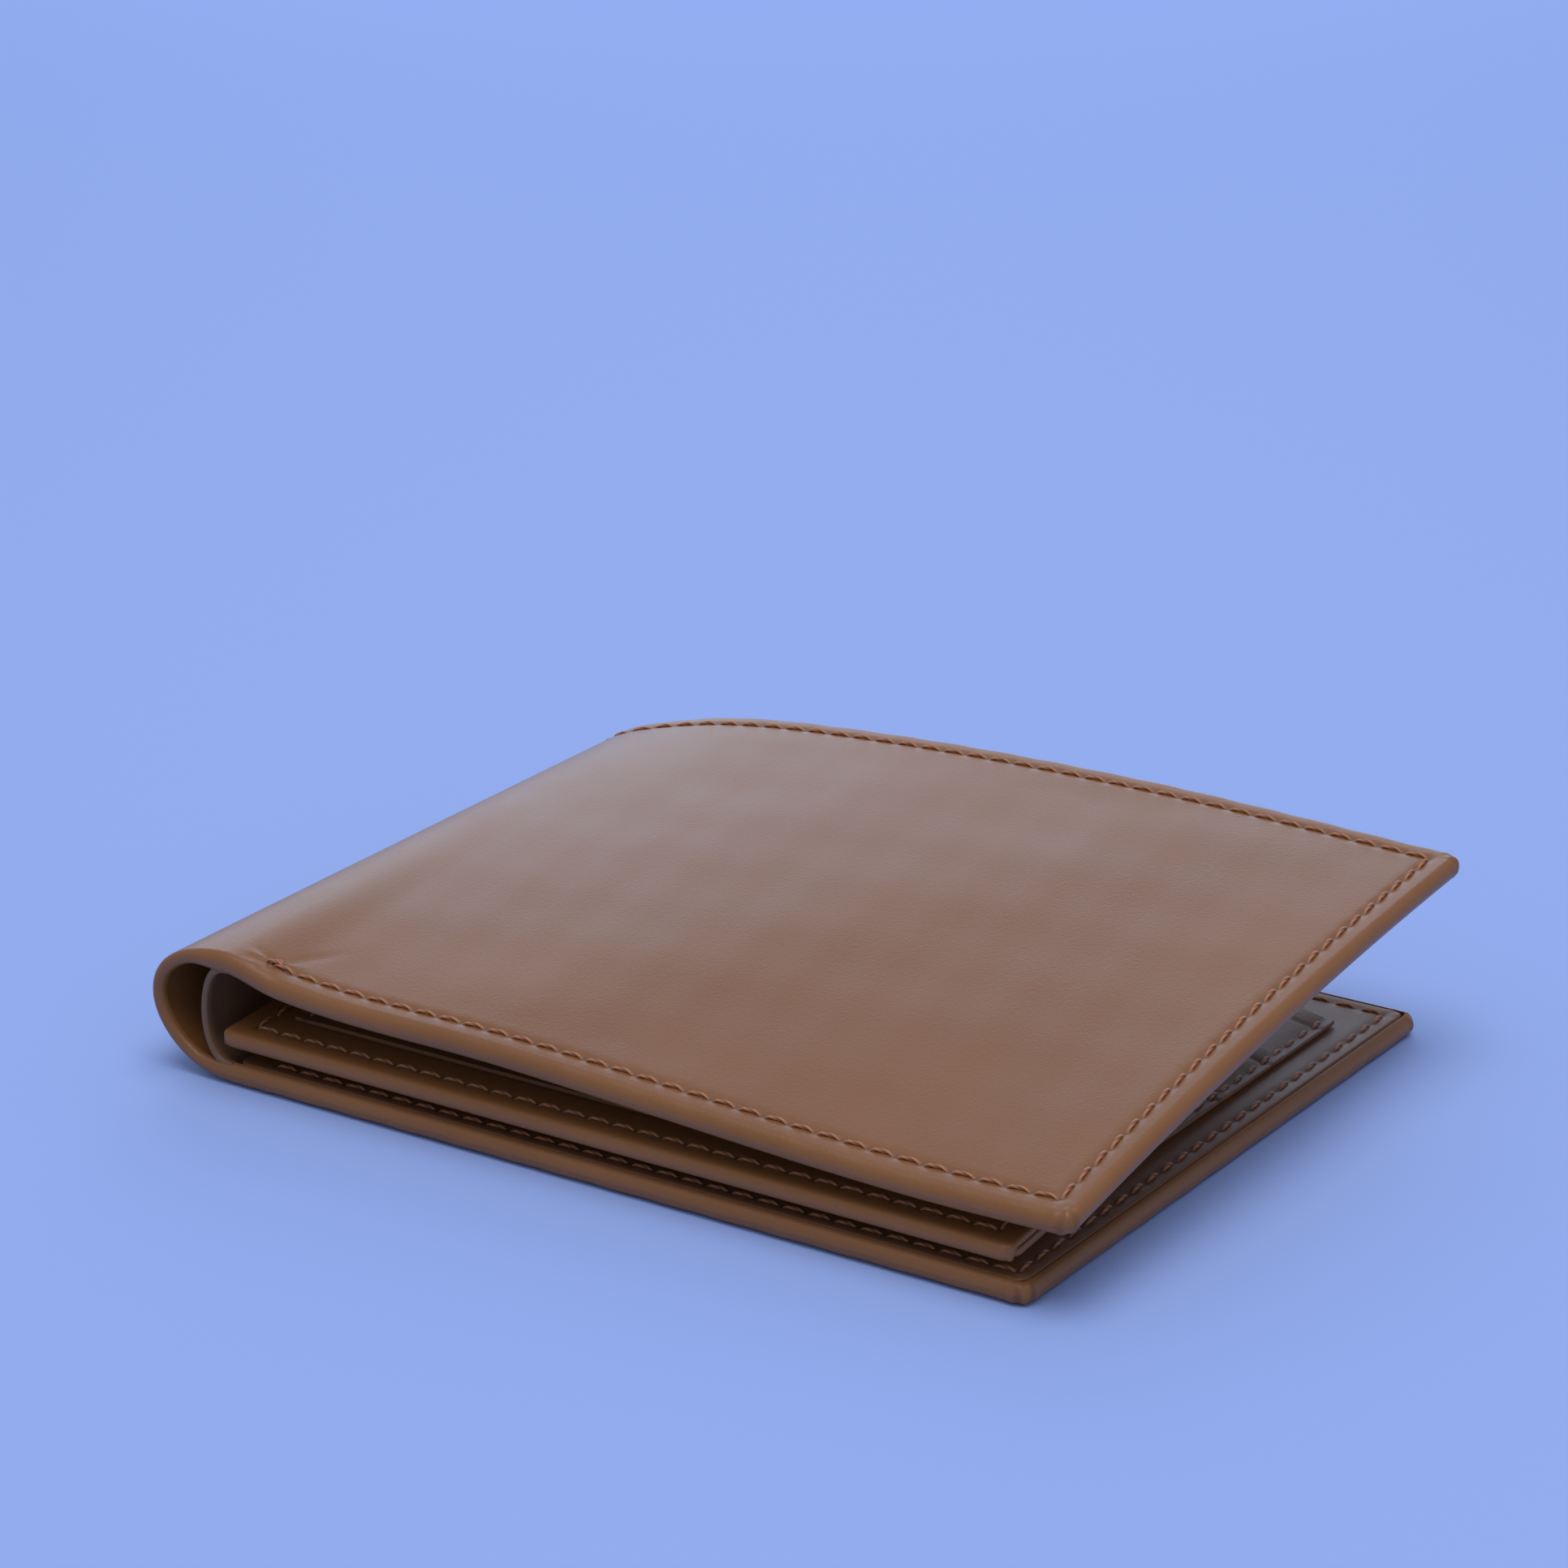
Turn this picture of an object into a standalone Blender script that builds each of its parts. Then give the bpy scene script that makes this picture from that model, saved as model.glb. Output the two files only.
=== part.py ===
"""A leather bifold wallet with an inner flip flap, lying closed on its back cover.

The spine runs along Y at the left, the open edge is at +X and the bill opening is at +Y. Lengths are
in millimetres up to the point where a mesh is made, and the origin is the middle of the underside.
"""

import math
from collections import namedtuple

import bpy
import bmesh

MM = 0.001

# Overall sizes
DEPTH = 86.7  # along the spine
BACK_LENGTH = 114.3  # from the outside of the spine to the open edge of the back half
OVERHANG = 4.7  # how far the front half reaches past the back half

# Thickness of each layer
COVER = 1.1  # outer leather
DIVIDER = 0.4  # wall between the bill compartment and the cards
PANEL = 0.6  # leather that carries the card slots
POCKET = 0.45  # leather of one card slot
FLAP_SKIN = 0.65  # each of the flap's two leathers
FLAP_CORE = 0.7  # space between them
WINDOW_FILM = 0.3
CLEARANCE = 0.2  # between two layers that lie on each other
ROUNDING = 0.42  # radius of a turned edge, as a share of its leather's thickness

# Air between the card faces beside the flap, as (share of the front half's length, air)
AIR_NEAR = ((0.0, 6.2), (0.07, 4.6), (0.35, 3.8), (0.82, 1.7), (1.0, 2.0))
AIR_FAR = ((0.0, 8.2), (0.1, 10.9), (0.31, 13.2), (0.63, 14.3), (1.0, 13.4))
CROWN_SLOPE_NEAR = 0.0
CROWN_SLOPE_FAR = 0.3

# Spine, with its places measured from its outside
FOOT_INSET = 11.3  # where it leaves the floor
CROWN_INSET = 10.3  # where it meets the front half
WAIST_SHARE = 0.57  # height of its outermost line, as a share of its rise
FAR_DRAW_IN = 1.3  # how much further in it lies at the far end
FOOT_PULL = 6.5
WAIST_PULL = 4.0
SPINE_SEGMENTS = 3
SEGMENT_GAP = 0.3

# Turn of the divider inside the spine, measured from the spine's outside
TURN_INSET = 11.0  # where the divider leaves each half
TURN_WAIST_NEAR = 6.8
TURN_WAIST_FAR = 4.3
TURN_PULL = 3.0

# Card side
PANEL_GAP = 0.3  # from the divider's turn to a card panel
EDGE_MARGIN = 2.0  # a divider stops this far inside the outer edge
SLOT_MARGIN = 6.0  # from a panel's ends to its slots
FIRST_MOUTH = 9.0  # from the far edge to the first slot's mouth
SLOT_PITCH = 12.0
SLOTS = 3
TUCK = 2.0  # how far a slot runs in under the mouth of the next one
LIFT = 0.7  # how far a mouth stands up over the leather behind it

# Stitching
STITCH_INSET = 3.0
SEAM_START = 15.3  # from the outside of the spine to the near seam's first stitch
THREAD = 0.36
GROOVE_SHARE = 0.64  # depth of a stitch groove, as a share of its leather's thickness
GROOVE_HALF_WIDTH = 0.6
PROUD_DEPTH = 0.05  # middle of the thread under the face that it shows on
FLUSH_DEPTH = 0.25  # the same on the underside, where nothing stands out

# Flap
FLAP_CLEAR = 1.0  # air between its near edge and the back half
FLAP_LEFT = 9.6  # from the outside of the spine
FLAP_RIGHT = 2.5  # from the back half's open edge
FLAP_NEAR = 0.3  # from the near edge
FLAP_SAG = 0.35
HINGE_INSET = 5.0  # from the far edge to its hinge line
HINGE_DROP = 0.6  # air over both ends of the hinge line
HINGE_GAP = 0.3
STRIP_DEPTH = 3.0
STRIP_SHORTER = 3.0  # the hinge strip starts this much further from the spine
WINDOW_LENGTH = 70.0
WINDOW_DEPTH = 46.0
WINDOW_LAP = 4.0  # how far the film runs in under its frame
FLAP_SLOTS = 1
FLAP_FIRST_MOUTH = 30.0  # from the hinge line

# Mesh steps
GRID = 7.5
CROWN_GRID = 2.5  # where the front half bends most, beside the crown
CROWN_REACH = 15.0
LEAST_STEP = 1.2

RIM_STACK = COVER + CLEARANCE + DIVIDER + CLEARANCE + PANEL
CARD_STACK = RIM_STACK + CLEARANCE + POCKET
FLAP_STACK = 2 * FLAP_SKIN + FLAP_CORE
CLOSED_STACK = 2 * CARD_STACK + FLAP_CLEAR + FLAP_STACK
BILL_SIDE = COVER + CLEARANCE  # depth of the divider's bill side under the outer face

SPINE_X = -(BACK_LENGTH + OVERHANG) / 2
BACK_EDGE = SPINE_X + BACK_LENGTH
FRONT_EDGE = BACK_EDGE + OVERHANG
FOOT_X = SPINE_X + FOOT_INSET
CROWN_X = SPINE_X + CROWN_INSET
TURN_X = SPINE_X + TURN_INSET
PANEL_X = TURN_X + PANEL_GAP
SEAM_X = SPINE_X + SEAM_START
FLAP_LEFT_X = SPINE_X + FLAP_LEFT
FLAP_RIGHT_X = BACK_EDGE - FLAP_RIGHT
NEAR_Y = -DEPTH / 2
FAR_Y = DEPTH / 2
HINGE_Y = FAR_Y - HINGE_INSET
NEAR_STITCH = NEAR_Y + STITCH_INSET
FAR_STITCH = FAR_Y - STITCH_INSET

LEATHER = (0.23, 0.105, 0.052)
CARD_LEATHER = (0.17, 0.075, 0.038)
DIVIDER_COLOUR = (0.10, 0.05, 0.03)
THREAD_COLOUR = (0.36, 0.09, 0.03)
FILM_COLOUR = (0.75, 0.77, 0.78)

bodies = {}


# Curves and surfaces: each gives (x, z) at a place along it and a y.


def lerp(a, b, share):
    return a + (b - a) * share


def through(points, x, first_slope):
    """Height at x of a smooth curve through the points, with this slope at its start."""
    chords = [(q[1] - p[1]) / (q[0] - p[0]) for p, q in zip(points, points[1:])]
    between = [(a + b) / 2 for a, b in zip(chords, chords[1:])]
    slopes = [first_slope, *between, chords[-1]]
    last = len(points) - 2
    i = next((i for i in range(last) if x < points[i + 1][0]), last)
    (x0, y0), (x1, y1) = points[i], points[i + 1]
    span = x1 - x0
    t = (x - x0) / span
    heights = (1 + 2 * t) * (1 - t) ** 2 * y0 + (3 - 2 * t) * t**2 * y1
    return heights + span * (t * (1 - t) ** 2 * slopes[i] - (1 - t) * t**2 * slopes[i + 1])


def bezier(controls, t):
    weights = ((1 - t) ** 3, 3 * t * (1 - t) ** 2, 3 * t * t * (1 - t), t**3)
    return tuple(sum(w * p[k] for w, p in zip(weights, controls)) for k in (0, 1))


def inward(curve, at, y, depth):
    """The point this deep under a curve's outer side."""
    step = 1e-3
    (x0, z0), (x1, z1) = curve(at - step, y), curve(at + step, y)
    length = math.hypot(x1 - x0, z1 - z0)
    x, z = curve(at, y)
    return x + (z1 - z0) / length * depth, z - (x1 - x0) / length * depth


def far_share(y):
    """Share of the way from the near edge's shape to the far edge's."""
    t = (y - NEAR_Y) / DEPTH
    return 1.5 * t - 0.5 * t * t


def front_height(x, y):
    length = FRONT_EDGE - CROWN_X
    share = (x - CROWN_X) / length
    near = through(AIR_NEAR, share, CROWN_SLOPE_NEAR * length)
    far = through(AIR_FAR, share, CROWN_SLOPE_FAR * length)
    return CLOSED_STACK + lerp(near, far, far_share(y))


def front_face(x, y):
    return x, front_height(x, y)


def front_layer(x, y, depth):
    return inward(front_face, x, y, depth)


def back_layer(x, y, depth):
    return x, depth


def spine_face(at, y):
    """Outside of the spine: 0 where it leaves the floor, 1 at its outermost line and 2 at the crown."""
    share = far_share(y)
    crown_z = front_height(CROWN_X, y)
    waist_x, waist_z = SPINE_X + FAR_DRAW_IN * share, WAIST_SHARE * crown_z
    if at <= 1:
        pulled = (FOOT_X - FOOT_PULL, 0.0), (waist_x, waist_z - WAIST_PULL)
        return bezier(((FOOT_X, 0.0), *pulled, (waist_x, waist_z)), at)
    slope = math.atan(lerp(CROWN_SLOPE_NEAR, CROWN_SLOPE_FAR, share))
    before = (CROWN_X - FOOT_PULL * math.cos(slope), crown_z - FOOT_PULL * math.sin(slope))
    return bezier(((waist_x, waist_z), (waist_x, waist_z + WAIST_PULL), before, (CROWN_X, crown_z)), at - 1)


def turn_face(at, y):
    """Spine side of the divider where it turns from the back half, at 0, to the front half, at 2."""
    top_x, top_z = front_layer(TURN_X, y, BILL_SIDE)
    waist_x = SPINE_X + lerp(TURN_WAIST_NEAR, TURN_WAIST_FAR, far_share(y))
    waist_z = (BILL_SIDE + top_z) / 2
    if at <= 1:
        pulled = (TURN_X - TURN_PULL, BILL_SIDE), (waist_x, waist_z - TURN_PULL)
        return bezier(((TURN_X, BILL_SIDE), *pulled, (waist_x, waist_z)), at)
    next_x, next_z = front_layer(TURN_X + 0.1, y, BILL_SIDE)
    slope = math.atan2(next_z - top_z, next_x - top_x)
    before = (top_x - TURN_PULL * math.cos(slope), top_z - TURN_PULL * math.sin(slope))
    return bezier(((waist_x, waist_z), (waist_x, waist_z + TURN_PULL), before, (top_x, top_z)), at - 1)


def flap_height(x, y):
    """Middle of the flap: just over the back half at its near edge, under the front half at its hinge."""
    low = CARD_STACK + FLAP_CLEAR + FLAP_STACK / 2
    under = CARD_STACK + HINGE_DROP + FLAP_STACK / 2
    ends = [front_height(end, HINGE_Y) - under for end in (CROWN_X, FLAP_RIGHT_X)]
    high = lerp(*ends, (x - CROWN_X) / (FLAP_RIGHT_X - CROWN_X))
    t = (y - NEAR_Y) / (HINGE_Y - NEAR_Y)
    return lerp(low, high, (1 - FLAP_SAG) * t + FLAP_SAG * t * t)


def heading(curve, at):
    """How far a curve has turned up from the floor's -X halfway along the spine, in degrees."""
    step = 1e-3
    (x0, z0), (x1, z1) = curve(at - step, 0.0), curve(at + step, 0.0)
    return math.degrees(math.atan2(z1 - z0, x0 - x1))


def joint_places(curve):
    """Where the joints cut a turning curve: equal turns between them, and half of that at both ends."""
    end = 1.998
    whole = heading(curve, end)
    places = []
    for k in range(SPINE_SEGMENTS + 1):
        low, high = 2 - end, end
        while high - low > 1e-6:
            middle = (low + high) / 2
            if heading(curve, middle) < whole * (k + 0.5) / (SPINE_SEGMENTS + 1):
                low = middle
            else:
                high = middle
        places.append(low)
    return places


def segment_ends(curve):
    """Start and end of each length of a turning curve between the joints, and of the two beyond them."""
    ends = [0.0]
    for at in joint_places(curve):
        (x0, z0), (x1, z1) = curve(at - 0.01, 0.0), curve(at + 0.01, 0.0)
        half_gap = SEGMENT_GAP / 2 * 0.02 / math.hypot(x1 - x0, z1 - z0)
        ends += [at - half_gap, at + half_gap]
    ends.append(2.0)
    return list(zip(ends[::2], ends[1::2]))


def joint_line(at):
    """A spine joint's (x, z), on whichever end of the spine stands out most, so that opening only parts it."""
    (x0, z0), (x1, z1) = inward(spine_face, at, 0.0, 1.0), spine_face(at, 0.0)
    out = (x1 - x0, z1 - z0)
    ends = [spine_face(at, y) for y in (NEAR_Y, FAR_Y)]
    reach = max(0.0, *[(x - x1) * out[0] + (z - z1) * out[1] for x, z in ends])
    return x1 + out[0] * reach, z1 + out[1] * reach


# A half of the wallet: its layer function, its open edge, and which end of the spine is its own.
Half = namedtuple("Half", "name layer edge leaf_start")
BACK = Half("back", back_layer, BACK_EDGE, FOOT_X)
FRONT = Half("front", front_layer, FRONT_EDGE, CROWN_X)


# Meshes


def clear_scene():
    for thing in list(bpy.data.objects):
        bpy.data.objects.remove(thing, do_unlink=True)


def add_body(name, parent, place):
    """An empty on the body's joint, which its pieces hang from."""
    empty = bpy.data.objects.new(name + "_axis", None)
    empty.empty_display_size = 5 * MM
    bpy.context.scene.collection.objects.link(empty)
    origin = (0.0, 0.0, 0.0)
    if parent:
        empty.parent, origin = bodies[parent]
    empty.location = [(a - b) * MM for a, b in zip(place, origin)]
    bodies[name] = (empty, place)


def add_piece(name, body, data, colour, roughness=0.45, alpha=1.0):
    material = bpy.data.materials.new(name + "_finish")
    material.use_nodes = True
    shader = material.node_tree.nodes["Principled BSDF"]
    shader.inputs["Base Color"].default_value = (*colour, 1.0)
    shader.inputs["Roughness"].default_value = roughness
    shader.inputs["Metallic"].default_value = 0.0
    shader.inputs["Alpha"].default_value = alpha
    data.materials.append(material)
    piece = bpy.data.objects.new(name, data)
    piece.parent = bodies[body][0]
    bpy.context.scene.collection.objects.link(piece)


def local(point, body):
    return [(a - b) * MM for a, b in zip(point, bodies[body][1])]


def sheet(name, body, columns, rows, upper, lower, keep=None):
    """A closed sheet over a grid: upper and lower give (x, z), and keep says which cells stay."""
    mesh = bmesh.new()
    made = {}

    def vertex(face, i, j):
        if (face, i, j) not in made:
            x, z = face(columns[i], rows[j])
            made[face, i, j] = mesh.verts.new(local((x, rows[j], z), body))
        return made[face, i, j]

    cells = {(i, j) for i in range(len(columns) - 1) for j in range(len(rows) - 1)}
    if keep:
        cells = {(i, j) for i, j in cells if keep(columns[i], columns[i + 1], rows[j], rows[j + 1])}
    for i, j in sorted(cells):
        corners = [(i, j), (i + 1, j), (i + 1, j + 1), (i, j + 1)]
        mesh.faces.new([vertex(upper, *corner) for corner in corners])
        mesh.faces.new([vertex(lower, *corner) for corner in reversed(corners)])
        beside = [(i, j - 1), (i + 1, j), (i, j + 1), (i - 1, j)]
        for neighbour, a, b in zip(beside, corners, corners[1:] + corners[:1]):
            if neighbour not in cells:
                mesh.faces.new([vertex(upper, *b), vertex(upper, *a), vertex(lower, *a), vertex(lower, *b)])
    bmesh.ops.recalc_face_normals(mesh, faces=mesh.faces)
    data = bpy.data.meshes.new(name)
    mesh.to_mesh(data)
    mesh.free()
    data.shade_smooth()
    data.set_sharp_from_angle(angle=math.radians(40))
    return data


def thread(name, body, points):
    data = bpy.data.curves.new(name, "CURVE")
    data.dimensions = "3D"
    data.bevel_depth = THREAD / 2 * MM
    data.bevel_resolution = 1
    data.use_fill_caps = True
    line = data.splines.new("POLY")
    line.points.add(len(points) - 1)
    for spot, point in zip(line.points, points):
        spot.co = (*local(point, body), 1.0)
    add_piece(name, body, data, THREAD_COLOUR, 0.6)


def spaced(start, end, step=GRID):
    count = max(1, math.ceil(abs(end - start) / step - 1e-6))
    return [lerp(start, end, k / count) for k in range(count + 1)]


def leaf_steps(start, end):
    """Steps along a half, short ones beside the crown."""
    bend_end = CROWN_X + CROWN_REACH
    return merged(spaced(start, bend_end, CROWN_GRID), spaced(bend_end, end))


def merged(*groups):
    """All values in order, each once."""
    values = sorted(value for group in groups for value in group)
    return [v for k, v in enumerate(values) if k == 0 or v - values[k - 1] > 1e-4]


def filled(fixed, fill):
    """The fixed values, and those to fill with that don't crowd them."""
    return merged(fixed, [v for v in fill if all(abs(v - f) >= LEAST_STEP for f in fixed)])


def edge_lines(edge, inner_side, thickness):
    radius = ROUNDING * thickness
    return [edge, edge + inner_side * 0.3 * radius, edge + inner_side * radius]


def groove_lines(centre):
    return [centre - GROOVE_HALF_WIDTH, centre, centre + GROOVE_HALF_WIDTH]


def edge_drop(distance, thickness):
    """How far a face falls towards the middle of its leather this close to a rounded edge."""
    radius = ROUNDING * thickness
    if distance >= radius:
        return 0.0
    return radius - math.sqrt(max(0.0, radius**2 - (radius - distance) ** 2))


# Covers and spine. A cover's column is ("spine", place) or ("leaf", x).


def cover_rows():
    fixed = merged(
        edge_lines(NEAR_Y, 1, COVER),
        edge_lines(FAR_Y, -1, COVER),
        groove_lines(NEAR_STITCH),
        groove_lines(FAR_STITCH),
    )
    return filled(fixed, spaced(NEAR_Y, FAR_Y))


def cover_point(half, column, y, depth):
    kind, at = column
    if kind == "spine":
        return inward(spine_face, at, y, depth)
    return half.layer(at, y, depth)


def same(a, b):
    return abs(a - b) < 1e-6


def on_seam(half, column, y):
    """Whether the cover's stitching passes here: the whole far hem, the open edge, and the near edge."""
    kind, x = column
    across = half.edge - STITCH_INSET
    if kind == "spine":
        return same(y, FAR_STITCH)
    if same(x, across):
        return NEAR_STITCH - 1e-6 < y < FAR_STITCH + 1e-6
    if x > across:
        return False
    return same(y, FAR_STITCH) or (same(y, NEAR_STITCH) and x > SEAM_X - 1e-6)


def cover_sheet(name, body, half, columns):
    def drop(column, y):
        beside = [y - NEAR_Y, FAR_Y - y]
        if column[0] == "leaf":
            beside.append(half.edge - column[1])
        return edge_drop(min(beside), COVER)

    def outer(column, y):
        groove = GROOVE_SHARE * COVER if on_seam(half, column, y) else 0.0
        return cover_point(half, column, y, drop(column, y) + groove)

    def inner(column, y):
        return cover_point(half, column, y, COVER - drop(column, y))

    add_piece(name, body, sheet(name, body, columns, cover_rows(), outer, inner), LEATHER, 0.4)


def leaf_columns(half):
    fixed = merged(
        [half.leaf_start, SEAM_X],
        groove_lines(half.edge - STITCH_INSET),
        edge_lines(half.edge, -1, COVER),
    )
    return filled(fixed, leaf_steps(half.leaf_start, half.edge))


def cover_thread(half, columns, depth):
    """The thread of one cover: the near edge from its first stitch, the open edge, then the far hem."""
    across = half.edge - STITCH_INSET
    sewn = [column for column in columns if column[0] == "spine" or column[1] < across + 1e-6]
    route = [(c, NEAR_STITCH) for c in sewn if c[0] == "leaf" and c[1] > SEAM_X - 1e-6]
    route += [(("leaf", across), y) for y in cover_rows() if NEAR_STITCH + 1e-6 < y < FAR_STITCH - 1e-6]
    route += [(c, FAR_STITCH) for c in reversed(sewn)]
    points = []
    for column, y in route:
        x, z = cover_point(half, column, y, depth)
        points.append((x, y, z))
    thread(half.name + "_seam_thread", half.name + "_half", points)


def covers():
    ends = segment_ends(spine_face)
    back_spine = [("spine", at) for at in spaced(ends[0][1], 0.0, 0.2)[:-1]]
    front_spine = [("spine", at) for at in spaced(*ends[-1], 0.2)[:-1]]
    for half, spine, depth in ((BACK, back_spine, FLUSH_DEPTH), (FRONT, front_spine, PROUD_DEPTH)):
        columns = spine + [("leaf", x) for x in leaf_columns(half)]
        cover_sheet(half.name + "_cover", half.name + "_half", half, columns)
        cover_thread(half, columns, depth)
    for number, (start, end) in enumerate(ends[1:-1], 1):
        columns = [("spine", at) for at in spaced(start, end, 0.12)]
        cover_sheet(f"spine_cover_{number}", f"spine_{number}", FRONT, columns)
        hem = []
        for column in columns:
            x, z = cover_point(FRONT, column, FAR_STITCH, PROUD_DEPTH)
            hem.append((x, FAR_STITCH, z))
        thread(f"spine_hem_thread_{number}", f"spine_{number}", hem)


# Divider between the bill compartment and the cards


def divider_point(half, column, y, depth):
    kind, at = column
    if kind == "turn":
        return inward(turn_face, at, y, depth)
    return half.layer(at, y, BILL_SIDE + depth)


def divider_sheet(name, body, half, columns):
    rows = spaced(NEAR_Y + EDGE_MARGIN, FAR_Y - EDGE_MARGIN, GRID)
    faces = [lambda c, y, depth=depth: divider_point(half, c, y, depth) for depth in (0.0, DIVIDER)]
    add_piece(name, body, sheet(name, body, columns, rows, *faces), DIVIDER_COLOUR, 0.6)


def dividers():
    ends = segment_ends(turn_face)
    back_turn = spaced(ends[0][1], 0.0, 0.25)[:-1]
    front_turn = spaced(*ends[-1], 0.25)[:-1]
    for half, turn in ((BACK, back_turn), (FRONT, front_turn)):
        leaf = leaf_steps(TURN_X, half.edge - EDGE_MARGIN)
        columns = [("turn", at) for at in turn] + [("leaf", x) for x in leaf]
        divider_sheet(half.name + "_divider", half.name + "_half", half, columns)
    for number, (start, end) in enumerate(ends[1:-1], 1):
        columns = [("turn", at) for at in spaced(start, end, 0.15)]
        divider_sheet(f"spine_divider_{number}", f"spine_{number}", FRONT, columns)


# Card panels and slots


def card_panel(half):
    columns = filled(
        merged(edge_lines(PANEL_X, 1, PANEL), edge_lines(half.edge, -1, PANEL)),
        leaf_steps(PANEL_X, half.edge),
    )
    rows = filled(
        merged(edge_lines(NEAR_Y, 1, PANEL), edge_lines(FAR_Y, -1, PANEL)),
        spaced(NEAR_Y, FAR_Y),
    )

    def face(depth, side):
        def point(x, y):
            distance = min(x - PANEL_X, half.edge - x, y - NEAR_Y, FAR_Y - y)
            return half.layer(x, y, depth + side * edge_drop(distance, PANEL))

        return point

    name = half.name + "_card_panel"
    body = half.name + "_half"
    faces = face(RIM_STACK - PANEL, 1), face(RIM_STACK, -1)
    add_piece(name, body, sheet(name, body, columns, rows, *faces), CARD_LEATHER)


def pocket_sheet(name, body, x_span, y_span, layer, base):
    """One slot's leather: it leaves its carrier towards its mouth, at the end of y_span."""
    start, mouth = y_span

    def face(thickness):
        def point(x, y):
            lift = LIFT * (y - start) / (mouth - start)
            return layer(x, y, base + lift + thickness)

        return point

    columns, rows = leaf_steps(*x_span), spaced(start, mouth)
    add_piece(name, body, sheet(name, body, columns, rows, face(0.0), face(POCKET)), CARD_LEATHER)


def slot_spans(first_mouth, slots, near_end):
    """(start, mouth) of each slot, and of the long pocket nearest the closed edge."""
    mouths = [first_mouth - k * SLOT_PITCH for k in range(slots + 1)]
    starts = [mouth - TUCK for mouth in mouths[1:]] + [near_end]
    return list(zip(starts, mouths))


def card_slots(half):
    x_span = (PANEL_X + SLOT_MARGIN, half.edge - SLOT_MARGIN)
    spans = slot_spans(FAR_Y - FIRST_MOUTH, SLOTS, NEAR_Y + SLOT_MARGIN)
    for number, span in enumerate(spans, 1):
        name = f"{half.name}_card_slot_{number}"
        pocket_sheet(name, half.name + "_half", x_span, span, half.layer, RIM_STACK + CLEARANCE)


# Flap


def flap_layer(x, y, depth):
    """Depth runs down from the middle of the flap."""
    return x, flap_height(x, y) - depth


def flap_top_layer(x, y, height):
    return x, flap_height(x, y) + height


def flap_seam_lines():
    across = [FLAP_LEFT_X + STITCH_INSET, FLAP_RIGHT_X - STITCH_INSET]
    return across, NEAR_Y + FLAP_NEAR + STITCH_INSET


def window_box():
    middle = (FLAP_LEFT_X + FLAP_RIGHT_X) / 2
    low = (NEAR_Y + FLAP_NEAR + HINGE_Y - WINDOW_DEPTH) / 2
    return middle - WINDOW_LENGTH / 2, middle + WINDOW_LENGTH / 2, low, low + WINDOW_DEPTH


def flap_skin(name, depth, upper_side):
    near, far = NEAR_Y + FLAP_NEAR, HINGE_Y - HINGE_GAP
    (left_seam, right_seam), near_seam = flap_seam_lines()
    left, right, low, high = window_box()
    across = merged(
        edge_lines(FLAP_LEFT_X, 1, FLAP_SKIN),
        edge_lines(FLAP_RIGHT_X, -1, FLAP_SKIN),
        [] if not upper_side else groove_lines(left_seam) + groove_lines(right_seam),
        [] if upper_side else [left, right],
    )
    along = merged(
        edge_lines(near, 1, FLAP_SKIN),
        [far],
        [] if not upper_side else groove_lines(near_seam),
        [] if upper_side else [low, high],
    )
    columns = filled(across, spaced(FLAP_LEFT_X, FLAP_RIGHT_X))
    rows = filled(along, spaced(near, far))

    def sewn(x, y):
        on_side = (same(x, left_seam) or same(x, right_seam)) and y > near_seam - 1e-6
        on_near = same(y, near_seam) and left_seam - 1e-6 < x < right_seam + 1e-6
        return on_side or on_near

    def face(at, side, grooved):
        def point(x, y):
            drop = edge_drop(min(x - FLAP_LEFT_X, FLAP_RIGHT_X - x, y - near), FLAP_SKIN)
            groove = GROOVE_SHARE * FLAP_SKIN if grooved and sewn(x, y) else 0.0
            return flap_layer(x, y, at + side * drop + groove)

        return point

    def frame(x0, x1, y0, y1):
        x, y = (x0 + x1) / 2, (y0 + y1) / 2
        return not (left < x < right and low < y < high)

    faces = face(depth, 1, upper_side), face(depth + FLAP_SKIN, -1, False)
    data = sheet(name, "flap", columns, rows, *faces, None if upper_side else frame)
    add_piece(name, "flap", data, LEATHER, 0.4)
    if upper_side:
        route = [(left_seam, y) for y in reversed(rows) if y > near_seam + 1e-6]
        route += [(x, near_seam) for x in columns if left_seam - 1e-6 < x < right_seam + 1e-6]
        route += [(right_seam, y) for y in rows if y > near_seam + 1e-6]
        points = [(x, y, flap_height(x, y) - depth - PROUD_DEPTH) for x, y in route]
        thread("flap_seam_thread", "flap", points)


def flap():
    flap_skin("flap_upper_leather", -FLAP_STACK / 2, True)
    flap_skin("flap_lower_leather", FLAP_STACK / 2 - FLAP_SKIN, False)
    left, right, low, high = window_box()
    columns = spaced(left - WINDOW_LAP, right + WINDOW_LAP)
    rows = spaced(low - WINDOW_LAP, high + WINDOW_LAP)
    faces = [lambda x, y, d=d: flap_layer(x, y, d) for d in (-WINDOW_FILM / 2, WINDOW_FILM / 2)]
    data = sheet("flap_window_film", "flap", columns, rows, *faces)
    add_piece("flap_window_film", "flap", data, FILM_COLOUR, 0.1, 0.35)
    x_span = (FLAP_LEFT_X + SLOT_MARGIN, FLAP_RIGHT_X - SLOT_MARGIN)
    spans = slot_spans(HINGE_Y - FLAP_FIRST_MOUTH, FLAP_SLOTS, NEAR_Y + FLAP_NEAR + SLOT_MARGIN)
    for number, span in enumerate(spans, 1):
        name = f"flap_card_slot_{number}"
        pocket_sheet(name, "flap", x_span, span, flap_top_layer, FLAP_STACK / 2 + CLEARANCE)


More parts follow.
